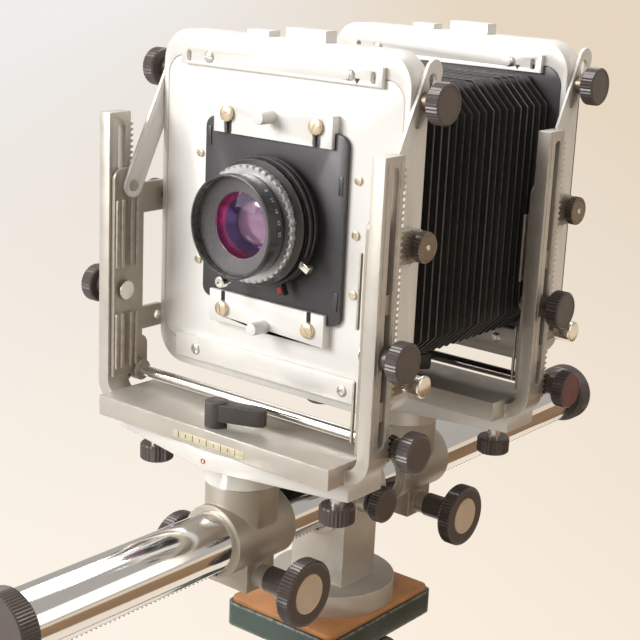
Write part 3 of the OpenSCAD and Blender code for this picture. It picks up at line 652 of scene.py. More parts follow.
def done(piece: bpy.types.Object, finish: Finish, body: str, smooth: float = 32.0) -> bpy.types.Object:
    """Gives a piece its finish, smooths it and lets it ride on its body.

    Args:
        piece: The finished mesh.
        finish: Its main finish, put in the first material slot.
        body: The body that it moves with.
        smooth: Edges flatter than this, in degrees, are smoothed.

    Returns:
        The same piece.
    """
    if piece.data.materials:
        piece.data.materials[0] = finish.material()
    else:
        piece.data.materials.append(finish.material())
    take(piece)
    bpy.ops.object.shade_smooth_by_angle(angle=math.radians(smooth))
    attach(piece, body)
    LOG.info("%s: %d faces, on %s", piece.name, len(piece.data.polygons), body)
    return piece


def ring_of(count: int, start: float = 0.0, sweep: float = math.tau) -> list[float]:
    """Returns count angles, evenly spaced over sweep."""
    return [start + sweep * i / count for i in range(count)]


def middle_across(low: Vector, high: Vector) -> Pair:
    """Returns the middle of a box across the X axis."""
    return ((low.y + high.y) / 2, (low.z + high.z) / 2)


def rounded(width: float, height: float, radius: float, centre: Pair, steps: int = 6) -> list[Pair]:
    """Returns the outline of a rectangle with round corners.

    Args:
        width: Full width.
        height: Full height.
        radius: Corner radius.
        centre: The rectangle's middle.
        steps: Points along each corner.

    Returns:
        The outline's points, anticlockwise.
    """
    points = []
    for quarter, (sx, sy) in enumerate(((1, 1), (-1, 1), (-1, -1), (1, -1))):
        corner = (centre[0] + sx * (width / 2 - radius), centre[1] + sy * (height / 2 - radius))
        for i in range(steps + 1):
            angle = math.radians(90 * (quarter + i / steps))
            points.append((corner[0] + radius * math.cos(angle), corner[1] + radius * math.sin(angle)))
    return points


# ---------------------------------------------------------------- knobs and screws


@dataclass
class Knob:
    """A turned knob on a neck, with a straight knurl and a flat face."""

    name: str
    axis: Axis
    centre: Pair
    root: float
    tip: float
    radius: float
    body: str
    neck_share: float = 0.36
    neck_radius: float = 5.0 * MM
    teeth: int = 36
    face: Finish = KNOB_FACE
    neck: Finish = KNOB
    insert: float = 0.0
    knurl: float = 0.45 * MM

    def build(self) -> bpy.types.Object:
        """Turns the knob, cuts its knurl and dresses it.

        Returns:
            The finished knob.
        """
        way = 1 if self.tip > self.root else -1
        length = abs(self.tip - self.root)
        neck = length * self.neck_share
        chamfer = 0.9 * MM
        dish = self.radius - 1.7 * MM
        shape = [(0, 0), (0, self.neck_radius), (neck, self.neck_radius), (neck, self.radius - chamfer),
                 (neck + chamfer, self.radius), (length - chamfer, self.radius),
                 (length - 0.15 * MM, self.radius - chamfer), (length, dish)]
        hollow, groove, crown = length - 0.35 * MM, length - 0.9 * MM, length - 0.2 * MM
        shape.append((hollow, dish - 0.4 * MM))
        if self.insert:
            shape += [(hollow, self.insert + 0.3 * MM), (groove, self.insert + 0.2 * MM),
                      (groove, self.insert), (crown, self.insert - 0.3 * MM), (crown, 0)]
        else:
            shape += [(hollow, 0)]
        profile = [(self.root + way * along, radius) for along, radius in shape]
        knob = turned(self.name, profile, self.axis, self.centre, self.teeth * 2)
        self._cut_knurl(knob)
        self._paint(knob, way)
        return done(knob, KNOB, self.body, 25.0)

    def _across(self, place: Vector) -> Vector:
        """Returns a place relative to the knob's axis, across it."""
        return place - self.axis.place(self.axis.value[0].dot(place), *self.centre)

    def _cut_knurl(self, knob: bpy.types.Object) -> None:
        """Presses every second line of the rim inwards."""
        _, first, second = self.axis.value
        half = math.pi / self.teeth

        def on_groove(place: Vector) -> bool:
            """Says whether a place is on the rim and on every second line."""
            across = self._across(place)
            turn = math.atan2(across.dot(second), across.dot(first)) / half
            return across.length > self.radius - 0.1 * MM and round(turn) % 2 == 1

        take(knob)
        bpy.ops.object.mode_set(mode="EDIT")
        select_points(knob, on_groove)
        share = 1 - self.knurl / self.radius
        keep = self.axis.value[0]
        bpy.ops.transform.resize(value=Vector((share,) * 3) + keep * (1 - share),
                                 center_override=self.axis.place(self.root, *self.centre))
        bpy.ops.object.mode_set(mode="OBJECT")

    def _paint(self, knob: bpy.types.Object, way: int) -> None:
        """Gives the face, the neck and the insert their own finishes."""
        along = self.axis.value[0]
        middle = (self.root + self.tip) / 2
        knob.data.materials.append(KNOB.material())
        coat(knob, self.face, lambda c, n: n.dot(along) * way > 0.7 and (c.dot(along) - middle) * way > 0)
        coat(knob, self.neck, lambda c, n: self._across(c).length < self.neck_radius + 0.1 * MM
             and (c.dot(along) - middle) * way < 0)
        if self.insert:
            coat(knob, CREAM_INSERT, lambda c, n: self._across(c).length < self.insert
                 and (c.dot(along) - middle) * way > 0)


@dataclass
class Screw:
    """A slotted screw head with a domed top."""

    name: str
    axis: Axis
    centre: Pair
    seat: float
    way: int
    radius: float
    body: str
    finish: Finish = STEEL
    height: float = 1.0 * MM
    turn: float = 35.0

    def build(self) -> bpy.types.Object:
        """Turns the head and cuts its slot.

        Returns:
            The finished head.
        """
        r, h = self.radius, self.height
        shape = [(0, 0), (0, r), (h * 0.45, r), (h * 0.8, r * 0.8), (h, r * 0.45), (h, 0)]
        profile = [(self.seat + self.way * along, radius) for along, radius in shape]
        head = turned(self.name, profile, self.axis, self.centre, 24)
        middle = self.axis.place(self.seat + self.way * h, *self.centre)
        depth, first, second = self.axis.value
        angle = math.radians(self.turn)
        long_way = first * math.cos(angle) + second * math.sin(angle)
        short_way = depth.cross(long_way)
        slot = leaning_bar("slot_tool", middle, (long_way * r * 2.4, short_way * r * 0.24, depth * h * 0.9))
        return done(cut(head, slot), self.finish, self.body)


def marks(name: str, places: Sequence[tuple[Vector, Vector]], finish: Finish, body: str) -> bpy.types.Object:
    """Makes one piece of many small bars, such as a scale's lines.

    Args:
        name: The piece's name.
        places: Each bar's middle and full size.
        finish: The paint.
        body: The body that carries it.

    Returns:
        The finished piece.
    """
    piece = new_mesh(name)
    for middle, size in places:
        bpy.ops.mesh.select_all(action="DESELECT")
        bpy.ops.mesh.primitive_cube_add(size=1, location=middle)
        bpy.ops.transform.resize(value=size, center_override=middle)
    bpy.ops.object.mode_set(mode="OBJECT")
    return done(piece, finish, body)


# ---------------------------------------------------------------- sub-assemblies


@dataclass
class Standard:
    """One geared standard: block, base plate, yoke, brackets, frame and everything clamped to them."""

    side: str
    board_y: float
    lens_z: float
    soft: float = 0.45 * MM
    castings: tuple = (("block", "carrier", CASTING, 0.8), ("base_plate", "base", WHITE_ALLOY, 0.7),
                       ("yoke", "yoke", PALE_CASTING, 0.6), ("brackets", "brackets", CASTING, 0.4),
                       ("frame", "frame", WHITE_ALLOY, 1.2), ("tilt_links", "tilt_links", WHITE_ALLOY, 0.4),
                       ("latch_bar", "latch_bar", WHITE_ALLOY, 0.4),
                       ("shift_lever", "shift_lever", LEVER_BLACK, 0.9),
                       ("detent", "detent", BUTTON_CHROME, 0.5))

    def box(self, part: str) -> tuple[Vector, Vector]:
        """Returns the corners of one of this standard's nodes."""
        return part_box(f"{self.side}_{part}")

    def body(self, part: str) -> str:
        """Returns the name of one of this standard's bodies."""
        return f"{self.side}_{part}"

    def build(self) -> None:
        """Makes every piece of the standard."""
        for node, body, finish, width in self.castings:
            piece = softened(f"{self.side}_{node}", f"{self.side}_{node}_cast", width * MM)
            done(piece, finish, self.body(body))
        self._clamp_knobs()
        self._focus_knobs()
        self._plate_screws()
        self._rod()
        self._bracket_ribs()
        self._upright_ribs()
        self._frame_details()
        self._scales()

    def _pair(self, node: str, body: str, root: float, radius: float, **extra: object) -> None:
        """Makes a left and a right knob that stand for one node."""
        low, high = self.box(node)
        centre = middle_across(low, high)
        for name, way in SIDES:
            knob = Knob(f"{self.side}_{node}_{name}", Axis.X, centre, way * root, way * high.x, radius,
                        self.body(body), **extra).build()
            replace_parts(knob, f"{self.side}_{node}")

    def _clamp_knobs(self) -> None:
        """Makes the link, rise and tilt clamp knobs."""
        link_high = self.box("tilt_links")[1]
        self._pair("link_knobs", "link_knobs", link_high.x + 0.3 * MM, 10.5 * MM, neck=BRONZE,
                   neck_share=0.42)
        upright = self.box("yoke")[1].x
        self._pair("rise_locks", "rise_locks", upright + 0.3 * MM, 10.5 * MM, neck_share=0.42,
                   neck_radius=6.4 * MM)
        bracket = self.box("brackets")[1].x
        self._pair("tilt_knobs", "tilt_knobs", bracket - 5.0 * MM, 8.0 * MM, neck_share=0.12, face=BRONZE,
                   neck=BRONZE, teeth=28, knurl=0.3 * MM)
        low, high = self.box("tilt_knobs")
        for name, way in SIDES:
            Screw(f"{self.side}_tilt_screw_{name}", Axis.X, middle_across(low, high),
                  way * (high.x - 1.2 * MM), way, 2.2 * MM, self.body("tilt_knobs"), BUTTON_CHROME).build()

    def _focus_knobs(self) -> None:
        """Makes the two focusing knobs on their pinion shaft."""
        low, high = self.box("focus_knobs")
        radius = (high.y - low.y) / 2
        self._pair("focus_knobs", "focus_knobs", FOCUS_BOSS, radius,
                   neck_share=0.69, neck_radius=7.2 * MM, teeth=56, insert=11.2 * MM, knurl=0.7 * MM)
        profile = [(-FOCUS_SHAFT, 0), (-FOCUS_SHAFT, 3 * MM), (FOCUS_SHAFT, 3 * MM), (FOCUS_SHAFT, 0)]
        shaft = turned(f"{self.side}_focus_shaft", profile, Axis.X, middle_across(low, high), 20)
        done(shaft, STEEL, self.body("focus_knobs"))

    def _plate_screws(self) -> None:
        """Makes the two thumb screws under the base plate."""
        low, high = self.box("base_screws")
        radius = (high.y - low.y) / 2
        for name, way in SIDES:
            centre = (way * (high.x - radius), (low.y + high.y) / 2)
            knob = Knob(f"{self.side}_plate_screw_{name}", Axis.Z, centre, high.z - 0.1 * MM, low.z, radius,
                        self.body("base"), neck_share=0.5, neck_radius=4 * MM, teeth=28, neck=STEEL).build()
            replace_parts(knob, f"{self.side}_base_screws")

    def _rod(self) -> None:
        """Makes the rise pinion rod with its knob."""
        low, high = self.box("rise_pinion")
        radius = (high.y - low.y) / 2
        centre = middle_across(low, high)
        body = self.body("rise_pinion")
        upright = self.box("yoke")[1].x
        face = MAROON_FACE if self.side == "rear" else KNOB_FACE
        knob = Knob(f"{self.side}_rise_knob", Axis.X, centre, upright + 0.3 * MM, high.x, radius, body,
                    neck_share=0.45, neck_radius=5.2 * MM, face=face).build()
        rod = turned(f"{self.side}_rise_rod", [(low.x, 0), (low.x, 4.6 * MM), (low.x + 2.4 * MM, 4.9 * MM),
                                               (low.x + 2.4 * MM, 3 * MM), (upright, 3 * MM), (upright, 0)],
                     Axis.X, centre, 32)
        done(rod, CHROME, body)
        pinions = []
        teeth = 10
        for name, way in SIDES:
            piece = new_mesh(f"{self.side}_rise_pinion_{name}")
            points = []
            for angle in ring_of(teeth, math.pi):
                for shift, reach in ((-0.22, 3.9), (-0.09, 5.75), (0.09, 5.75), (0.22, 3.9)):
                    turn = angle + shift
                    out = (reach * MM * math.cos(turn), reach * MM * math.sin(turn))
                    points.append(Axis.X.place(way * (upright - 0.3 * MM), centre[0] + out[0],
                                               centre[1] + out[1]))
            draw_line(points)
            bpy.ops.mesh.edge_face_add()
            bpy.ops.mesh.extrude_region_move(TRANSFORM_OT_translate={"value": (-way * 6.9 * MM, 0, 0)})
            pinions.append(done(close_up(piece), RACK, body))
        for piece in (knob, rod, *pinions):
            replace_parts(piece, f"{self.side}_rise_pinion")

    def _bracket_ribs(self) -> None:
        """Makes the raised borders, flutes and screws of the two cast brackets."""
        low = self.box("brackets")[0]
        lock_low, lock_high = self.box("rise_locks")
        slot_y = (lock_low.y + lock_high.y) / 2
        lock_z = (lock_low.z + lock_high.z) / 2
        rise = 0.9 * MM
        face = self.box("tilt_links")[0].x + 2.3 * MM
        foot = low.z + 10 * MM
        for name, way in SIDES:
            ribs = []
            for offset in (-7.2, -3.0, 3.0, 7.2):
                for start, end in ((foot, lock_z - 13 * MM), (lock_z + 13 * MM, self.lens_z + 1 * MM)):
                    ribs.append(slab("rib", rounded(1.7 * MM, end - start, 0.8 * MM,
                                                    (slot_y + offset * MM, (start + end) / 2), 3),
                                     Axis.X, way * (face - rise), way * (face + 0.2 * MM)))
            piece = joined(f"{self.side}_bracket_flutes_{name}", ribs)
            done(piece, CASTING, self.body("brackets"))
            Screw(f"{self.side}_bracket_screw_{name}", Axis.X, (slot_y, lock_z), way * face, -way, 5.2 * MM,
                  self.body("brackets"), STEEL, 0.9 * MM, 60).build()
            centre = middle_across(*self.box("rise_pinion"))
            reach = face - 4.0 * MM
            boss = turned(f"{self.side}_rod_boss_{name}",
                          [(way * face, 3.1 * MM), (way * face, 6 * MM), (way * (reach + 1.2 * MM), 5.6 * MM),
                           (way * reach, 4.8 * MM), (way * reach, 3.1 * MM), (way * face, 3.1 * MM)],
                          Axis.X, centre, 32)
            done(boss, CASTING, self.body("brackets"))

    def _upright_ribs(self) -> None:
        """Makes the raised borders along the outer faces of the yoke's uprights."""
        low, high = self.box("yoke")
        lock_low, lock_high = self.box("rise_locks")
        slot_y = (lock_low.y + lock_high.y) / 2
        for name, way in SIDES:
            strips = []
            for offset in (-5.6, 4.6):
                outline = rounded(2.0 * MM, high.z - low.z - 26 * MM, 0.9 * MM,
                                  (slot_y + offset * MM, (high.z + low.z) / 2 + 10 * MM), 3)
                strips.append(slab("strip", outline, Axis.X, way * (high.x - 0.2 * MM),
                                   way * (high.x + 0.25 * MM)))
            done(joined(f"{self.side}_upright_ribs_{name}", strips), PALE_CASTING, self.body("yoke"))

    def _frame_details(self) -> None:
        """Makes the screws and index on the front of the frame."""
        low, high = self.box("latch_bar")
        front = self.board_y - 3 * MM
        body = self.body("frame")
        latch = self.body("latch_bar")
        middle = (low.z + high.z) / 2
        for name, way in SIDES:
            Screw(f"{self.side}_latch_screw_{name}", Axis.Y, (way * 47 * MM, middle), front, -1,
                  3.0 * MM, latch, STEEL, 1.3 * MM, 30 + 40 * way).build()
            foot = self.box("frame")[0].z + 11 * MM
            Screw(f"{self.side}_clamp_screw_{name}", Axis.Y, (way * 52 * MM, foot), front, -1, 3.0 * MM, body,
                  STEEL, 1.1 * MM, 70 - 30 * way).build()
        index = slab(f"{self.side}_latch_index", [(50 * MM, low.z + 3.4 * MM), (53.4 * MM, low.z + 3.4 * MM),
                                                  (51.7 * MM, low.z + 0.6 * MM)],
                     Axis.Y, front - 0.12 * MM, front + 0.2 * MM)
        done(index, DARK_PAINT, latch)

    def _scales(self) -> None:
        """Makes the engraved lines of the shift, swing and tilt scales."""
        yoke_low, _ = self.box("yoke")
        plate_low, plate_high = self.box("base_plate")
        disc_front = (plate_low.y + plate_high.y) / 2
        disc_radius = 21 * MM
        bar_low = plate_high.z - 3 * MM
        strip = brick(f"{self.side}_shift_scale",
                      Vector((-24 * MM, yoke_low.y - 0.15 * MM, bar_low + 2.2 * MM)),
                      Vector((26 * MM, yoke_low.y + 0.3 * MM, bar_low + 6.2 * MM)), 0.05 * MM)
        done(strip, SCALE_BRASS, self.body("yoke"))
        lines = [(Vector((x * MM, yoke_low.y - 0.2 * MM, bar_low + 4.2 * MM)),
                  Vector((0.3 * MM, 0.12 * MM, (3.6 if x % 10 == 0 else 2.0) * MM)))
                 for x in range(-20, 25, 5)]
        marks(f"{self.side}_shift_lines", lines, DARK_PAINT, self.body("yoke"))
        swing = []
        top = bar_low - 10 * MM - 0.5 * MM
        for step in range(-6, 7):
            angle = math.radians(-90 + step * 7.5)
            spot = Vector((math.cos(angle), math.sin(angle), 0)) * (disc_radius + 0.02 * MM)
            swing.append((spot + Vector((0, disc_front, top - 2 * MM)),
                          Vector((0.35 * MM, 0.35 * MM, 2.2 * MM))))
        marks(f"{self.side}_swing_lines", swing, RED_PAINT, self.body("base"))
        index = turned(f"{self.side}_swing_index",
                       [(plate_low.y - 0.1 * MM, 0.9 * MM), (plate_low.y - 0.1 * MM, 1.4 * MM),
                        (plate_low.y + 0.3 * MM, 1.4 * MM), (plate_low.y + 0.3 * MM, 0.9 * MM),
                        (plate_low.y - 0.1 * MM, 0.9 * MM)], Axis.Y, (0.0, bar_low - 5 * MM), 20)
        done(index, RED_PAINT, self.body("base"))
        tilt_low, tilt_high = self.box("tilt_knobs")
        middle = Vector((0, (tilt_low.y + tilt_high.y) / 2, self.lens_z))
        out = self.box("brackets")[1].x - 5.25 * MM
        fan = []
        for _, way in SIDES:
            for step in range(-5, 6):
                angle = math.radians(180 + step * 11)
                for reach in (9.3, 10.0, 10.7):
                    spot = Vector((0, math.cos(angle), math.sin(angle))) * reach * MM
                    fan.append((middle + spot + Vector((way * out, 0, 0)), Vector((0.12, 0.75, 0.3)) * MM))
        marks(f"{self.side}_tilt_lines", fan, DARK_PAINT, self.body("brackets"))


@dataclass
class LensSet:
    """The lens in its shutter, on the small black board."""

    board_y: float
    lens_z: float
    body: str = "front_frame"
    centre: Pair = field(init=False)

    def __post_init__(self) -> None:
        """Finds the lens axis."""
        self.centre = (0.0, self.lens_z)

    def _turn(self, name: str, profile: Sequence[Pair], finish: Finish, body: str, steps: int = 96,
              smooth: float = 32.0) -> bpy.types.Object:
        """Turns a piece on the lens axis; the profile is in millimetres from the board."""
        shape = [(self.board_y + along * MM, radius * MM) for along, radius in profile]
        return done(turned(name, shape, Axis.Y, self.centre, steps), finish, body, smooth)

    def build(self) -> None:
        """Makes every piece of the lens."""
        self._barrels()
        self._glasses()
        self._shutter()
        self._ring()
        self._levers()
        self._boards()

    def _barrels(self) -> None:
        """Makes the rim, the front barrel, the ribbed cone and the rear cell."""
        rim = [(-35.6, 26.0), (-35.6, 26.7), (-35.3, 27.2), (-31.0, 27.2), (-30.4, 26.3), (-24.0, 26.3),
               (-24.0, 22.0), (-25.6, 19.0), (-30.6, 24.7), (-30.6, 26.0), (-35.6, 26.0)]
        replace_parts(self._turn("front_barrel", rim, BLACK_METAL, self.body), "lens_barrels")
        thread = [(-35.2, 26.0)]
        for i in range(6):
            thread += [(-34.9 + i * 0.72, 25.6), (-34.5 + i * 0.72, 26.0)]
        thread += [(-30.7, 26.05), (-35.2, 26.05), (-35.2, 26.0)]
        self._turn("filter_thread_ridges", thread, BLACK_METAL, self.body)
        cone = []
        ribs = 11
        for i in range(ribs):
            share = i / ribs
            radius = 25.5 - 8.0 * share
            along = -30.9 + 3.6 * share
            cone += [(along, radius), (along + 0.05, radius - 0.45), (along + 0.33, radius - 0.5)]
        cone += [(-27.2, 17.3), (-26.4, 17.3), (-26.4, 19.0), (-30.4, 25.6), (-30.9, 25.5)]
        self._turn("ribbed_cone", cone, CONE, self.body, smooth=20.0)
        rear = [(5.2, 16.0), (5.2, 18.6), (5.8, 19.0), (21.6, 19.0), (22.0, 18.4), (22.0, 15.1), (5.2, 15.1),
                (5.2, 16.0)]
        self._turn("rear_cell", rear, BLACK_METAL, self.body)

    def _glasses(self) -> None:
        """Makes the front glass, and behind it the surfaces with painted coloured reflections that show
        through it.
        """
        reach = 17.25
        bulge = 3.2
        curve = (reach * reach + bulge * bulge) / (2 * bulge)
        front = []
        for i in range(15):
            radius = reach * (1 - i / 14)
            front.append((-27.1 - (math.sqrt(curve * curve - radius * radius) - (curve - bulge)), radius))
        glass = [(-25.9, 0), (-25.9, reach), *front]
        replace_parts(self._turn("front_glass", glass, CLEAR_GLASS, self.body), "lens_elements")
        bowl = [(-25.7, 17.2), (-23.6, 15.9), (-21.4, 14.2), (-21.0, 14.2), (-23.3, 16.2), (-25.5, 17.4),
                (-25.7, 17.2)]
        self._turn("bowl_painted_reflection", bowl, BOWL_PAINTED_REFLECTION, self.body)
        ring = [(-21.3, 14.4), (-19.2, 12.7), (-16.8, 10.9), (-16.4, 11.2), (-19.0, 13.2), (-21.0, 14.6),
                (-21.3, 14.4)]
        self._turn("ring_painted_reflection", ring, RING_PAINTED_REFLECTION, self.body)
        core = [(-15.2, 0), (-15.2, 11.4)]
        for i in range(9):
            radius = 11.4 * (1 - i / 8)
            core.append((-15.8 - 2.2 * (1 - (radius / 11.4) ** 2), radius))
        self._turn("inner_glass", core, CORE_PAINTED_REFLECTION, self.body)
        well = [(-14.9, 0), (-14.9, 15.8), (-22.0, 15.9), (-24.0, 17.2), (-24.0, 17.34), (-14.0, 16.9),
                (-14.0, 0)]
        self._turn("lens_well", well, WELL, self.body)
        rear = [(14.0, 0), (14.0, 15.1), (15.0, 15.1), (16.2, 11.0), (16.8, 6.0), (17.0, 0)]
        self._turn("rear_glass", rear, RING_PAINTED_REFLECTION, self.body)

    def _shutter(self) -> None:
        """Makes the shutter's body with its stepped flange, three white lines, and the release post and arm.
        """
        body = [(-3.0, 0), (-3.0, 31.6), (-3.6, 32.5), (-9.3, 32.5), (-9.3, 31.7), (-10.3, 31.7),
                (-10.3, 32.4), (-13.2, 32.4), (-13.2, 30.9), (-15.9, 29.6), (-15.9, 26.0), (-15.9, 17.4),
                (-13.9, 17.4), (-13.9, 0)]
        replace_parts(self._turn("shutter_case", body, BLACK_METAL, self.body), "shutter_body")
        for index, angle in enumerate((58, 30, 6)):
            turn = math.radians(angle)
            place = Vector((28.4 * MM * math.cos(turn), self.board_y - 16.05 * MM,
                            self.lens_z + 28.4 * MM * math.sin(turn)))
            marks(f"shutter_line_{index}", [(place, Vector((1.4, 0.12, 0.35)) * MM)], WHITE_PAINT, self.body)
        shape = [(13.5, 0), (13.5, 1.9), (17.0, 1.9), (17.2, 3.0), (21.0, 3.1), (21.4, 2.7), (21.4, 1.6),
                 (20.4, 1.5), (20.4, 0)]
        post = turned("release_post", [(self.board_y - along * MM, radius * MM) for along, radius in shape],
                      Axis.Y, (-19 * MM, self.lens_z - 34.5 * MM), 32)
        done(post, BUTTON_CHROME, self.body)
        tube = brick("release_arm", Vector((-20.2 * MM, self.board_y - 15.6 * MM, self.lens_z - 34.0 * MM)),
                     Vector((-15.2 * MM, self.board_y - 13.5 * MM, self.lens_z - 26.0 * MM)), 0.6 * MM)
        done(tube, BUTTON_CHROME, self.body)

    def _ring(self) -> None:
        """Makes the scalloped speed ring and the numbers behind it."""
        ring = [(-23.3, 26.0), (-23.3, 30.0), (-22.7, 30.8), (-20.2, 30.8), (-19.8, 30.2), (-19.8, 28.0),
                (-17.0, 32.0), (-16.4, 33.0), (-16.3, 33.0), (-16.3, 26.0), (-23.3, 26.0)]
        scallops = 44
        piece = turned("speed_dial", [(self.board_y + a * MM, r * MM) for a, r in ring], Axis.Y, self.centre,
                       scallops * 4)
        take(piece)
        bpy.ops.object.mode_set(mode="EDIT")
        back = self.board_y - 20.3 * MM
        step = math.tau / scallops

        def in_scallop(place: Vector) -> bool:
            """Says whether a place is at the bottom of a scallop."""
            across = Vector((place.x, place.z - self.lens_z))
            turn = math.atan2(across.y, across.x) % step / step
            return across.length > 29.5 * MM and place.y < back + 0.2 * MM and (turn < 0.2 or turn > 0.8)

        select_points(piece, in_scallop)
        bpy.ops.transform.resize(value=(0.955, 1, 0.955), center_override=(0, self.board_y, self.lens_z))
        bpy.ops.object.mode_set(mode="OBJECT")
        piece.data.materials.append(SILVER_RING.material())
        coat(piece, BLACK_METAL, lambda c, n: c.y > back + 0.4 * MM)
        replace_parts(done(piece, SILVER_RING, "speed_ring", 24.0), "speed_ring")
        for index, text in enumerate(("500", "250", "125", "60", "30", "15", "8", "4", "2", "1")):
            angle = math.radians(118 - index * 15.5)
            self._number(f"speed_number_{index}", text, angle, 29.9, -18.4, "speed_ring")
        for index, text in enumerate(("5", "8", "11", "16", "22", "32")):
            angle = math.radians(64 - index * 13)
            self._number(f"stop_number_{index}", text, angle, 26.35, -27.4, self.body, 90)

    def _number(self, name: str, text: str, angle: float, radius: float, along: float, body: str,
                lean: float = 58.0) -> None:
        """Makes a raised number that faces outwards on a cone round the lens axis."""
        clear_selection()
        bpy.ops.object.text_add(location=(0, 0, 0))
        number = bpy.context.object
        number.data.body = text
        number.data.size = 2.9 * MM
        number.data.align_x = "CENTER"
        number.data.align_y = "CENTER"
        number.data.extrude = 0.05 * MM
        bpy.ops.object.convert(target="MESH")
        number = bpy.context.object
        out = Vector((math.cos(angle), 0, math.sin(angle)))
        up = (out * math.cos(math.radians(lean)) + Vector((0, 1, 0)) * math.sin(math.radians(lean)))
        across = Vector((-math.sin(angle), 0, math.cos(angle))) * -1
        facing = across.cross(up)
        turn = Matrix((across, up, facing)).transposed().to_4x4()
        place = Vector((0, self.board_y + along * MM, self.lens_z)) + out * radius * MM
        number.data.transform(Matrix.Translation(place) @ turn)
        number.matrix_world = Matrix.Identity(4)
        number.name = name
        number.data.name = name
        done(number, WHITE_PAINT, body)

    def _levers(self) -> None:
        """Makes the cocking lever and the aperture lever."""
        kinds = (("cocking_lever", -13.0, -10.5, -28, 41.5, BUTTON_CHROME),
                 ("aperture_lever", -9.0, -7.0, -66, 40.5, BLACK_METAL))
        for node, low, high, turn, reach, finish in kinds:
            ring = [(low, 32.6), (low, 34.0), (low + 0.5, 34.5), (high - 0.5, 34.5), (high, 34.0),
                    (high, 32.6), (low, 32.6)]
            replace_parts(self._turn(f"{node}_ring", ring, BLACK_METAL, node), node)
            angle = math.radians(turn)
            out = Vector((math.cos(angle), 0, math.sin(angle)))
            side = Vector((-math.sin(angle), 0, math.cos(angle)))
            middle = Vector((0, self.board_y + (low - 1.0) * MM, self.lens_z)) + out * (reach - 3.4) * MM
            tab = leaning_bar(f"{node}_tab", middle,
                              (out * 6.6 * MM, Vector((0, 4.4 * MM, 0)), side * 3.9 * MM))
            done(bevelled(tab, 0.5 * MM), finish, node)
            if node == "aperture_lever":
                tip = leaning_bar("aperture_index", middle - Vector((0, 2.3 * MM, 0)),
                                  (out * 3.0 * MM, Vector((0, 0.6 * MM, 0)), side * 2.6 * MM))
                done(bevelled(tip, 0.15 * MM), RED_PAINT, node)

    def _boards(self) -> None:
        """Dresses the boards, their slide plates and their screws."""
        low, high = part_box("lens_board")
        outline = rounded(high.x - low.x, high.z - low.z, 6 * MM, self.centre)
        board = slab("small_board", outline, Axis.Y, low.y, high.y)
        profile = [(low.y - MM, 0), (low.y - MM, BOARD_HOLE), (high.y + MM, BOARD_HOLE), (high.y + MM, 0)]
        hole = turned("hole_tool", profile, Axis.Y, self.centre, 64)
        board = bevelled(cut(board, hole), 0.5 * MM)
        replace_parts(done(board, BOARD_BLACK, self.body), "lens_board")
        done(softened("adapter_board", "white_board", 0.4 * MM), BOARD_WHITE, self.body)
        done(softened("board_slider", "upper_slide_plate", 0.35 * MM), BOARD_WHITE, "board_slider")
        retainer = softened("board_retainer", "lower_plate_and_screws", 0.3 * MM)
        retainer.data.materials.append(BOARD_WHITE.material())
        half = 40.2 * MM
        low_plate = self.lens_z - 43 * MM
        front = self.board_y - 5.7 * MM
        coat(retainer, BRASS, lambda c, n: c.z > low_plate or abs(c.x) > half
             or (c.y < front and abs(c.x) > 20 * MM))
        done(retainer, BOARD_WHITE, self.body)
        spots = [(way * 30, 52.3, 7.6) for way in (-1, 1)] + [(way * 30, -53.5, 7.3) for way in (-1, 1)]
        for index, (x, z, front) in enumerate(spots):
            Screw(f"plate_screw_{index}", Axis.Y, (x * MM, self.lens_z + z * MM),
                  self.board_y - front * MM, -1, 3.9 * MM, self.body, BRASS, 0.8 * MM,
                  25 + 40 * index).build()
        # Painted shade: a thin near-black slab on the front of the lower plate, above each lower screw,
        # stands for the shade inside a keyhole slot.
        for index, way in enumerate((-1, 1)):
            keyhole_painted_shade = slab(f"keyhole_{index}", rounded(2.8 * MM, 8 * MM, 1.3 * MM,
                                                       (way * 30 * MM, self.lens_z - 47.6 * MM)),
                           Axis.Y, self.board_y - 5.66 * MM, self.board_y - 5.4 * MM)
            done(keyhole_painted_shade, WELL, self.body)
        spots = [(way * 54, z) for way in (-1, 1) for z in (-31, 0, 28)]
        for index, (x, z) in enumerate(spots):
            Screw(f"board_screw_{index}", Axis.Y, (x * MM, self.lens_z + z * MM), self.board_y - 0.9 * MM, -1,
                  2.2 * MM, self.body, BRASS, 0.35 * MM, 20 + 55 * index).build()
        for index, (x, z) in enumerate(((-45, 39), (-45, -20), (45, 24), (45, -36))):
            low = Vector(((x - 1.3) * MM, self.board_y - 3.6 * MM, self.lens_z + (z - 5) * MM))
            high = Vector(((x + 1.3) * MM, self.board_y - 2.9 * MM, self.lens_z + (z + 5) * MM))
            clip = brick(f"board_clip_{index}", low, high, 0.25 * MM)
            done(clip, BOARD_BLACK, self.body)


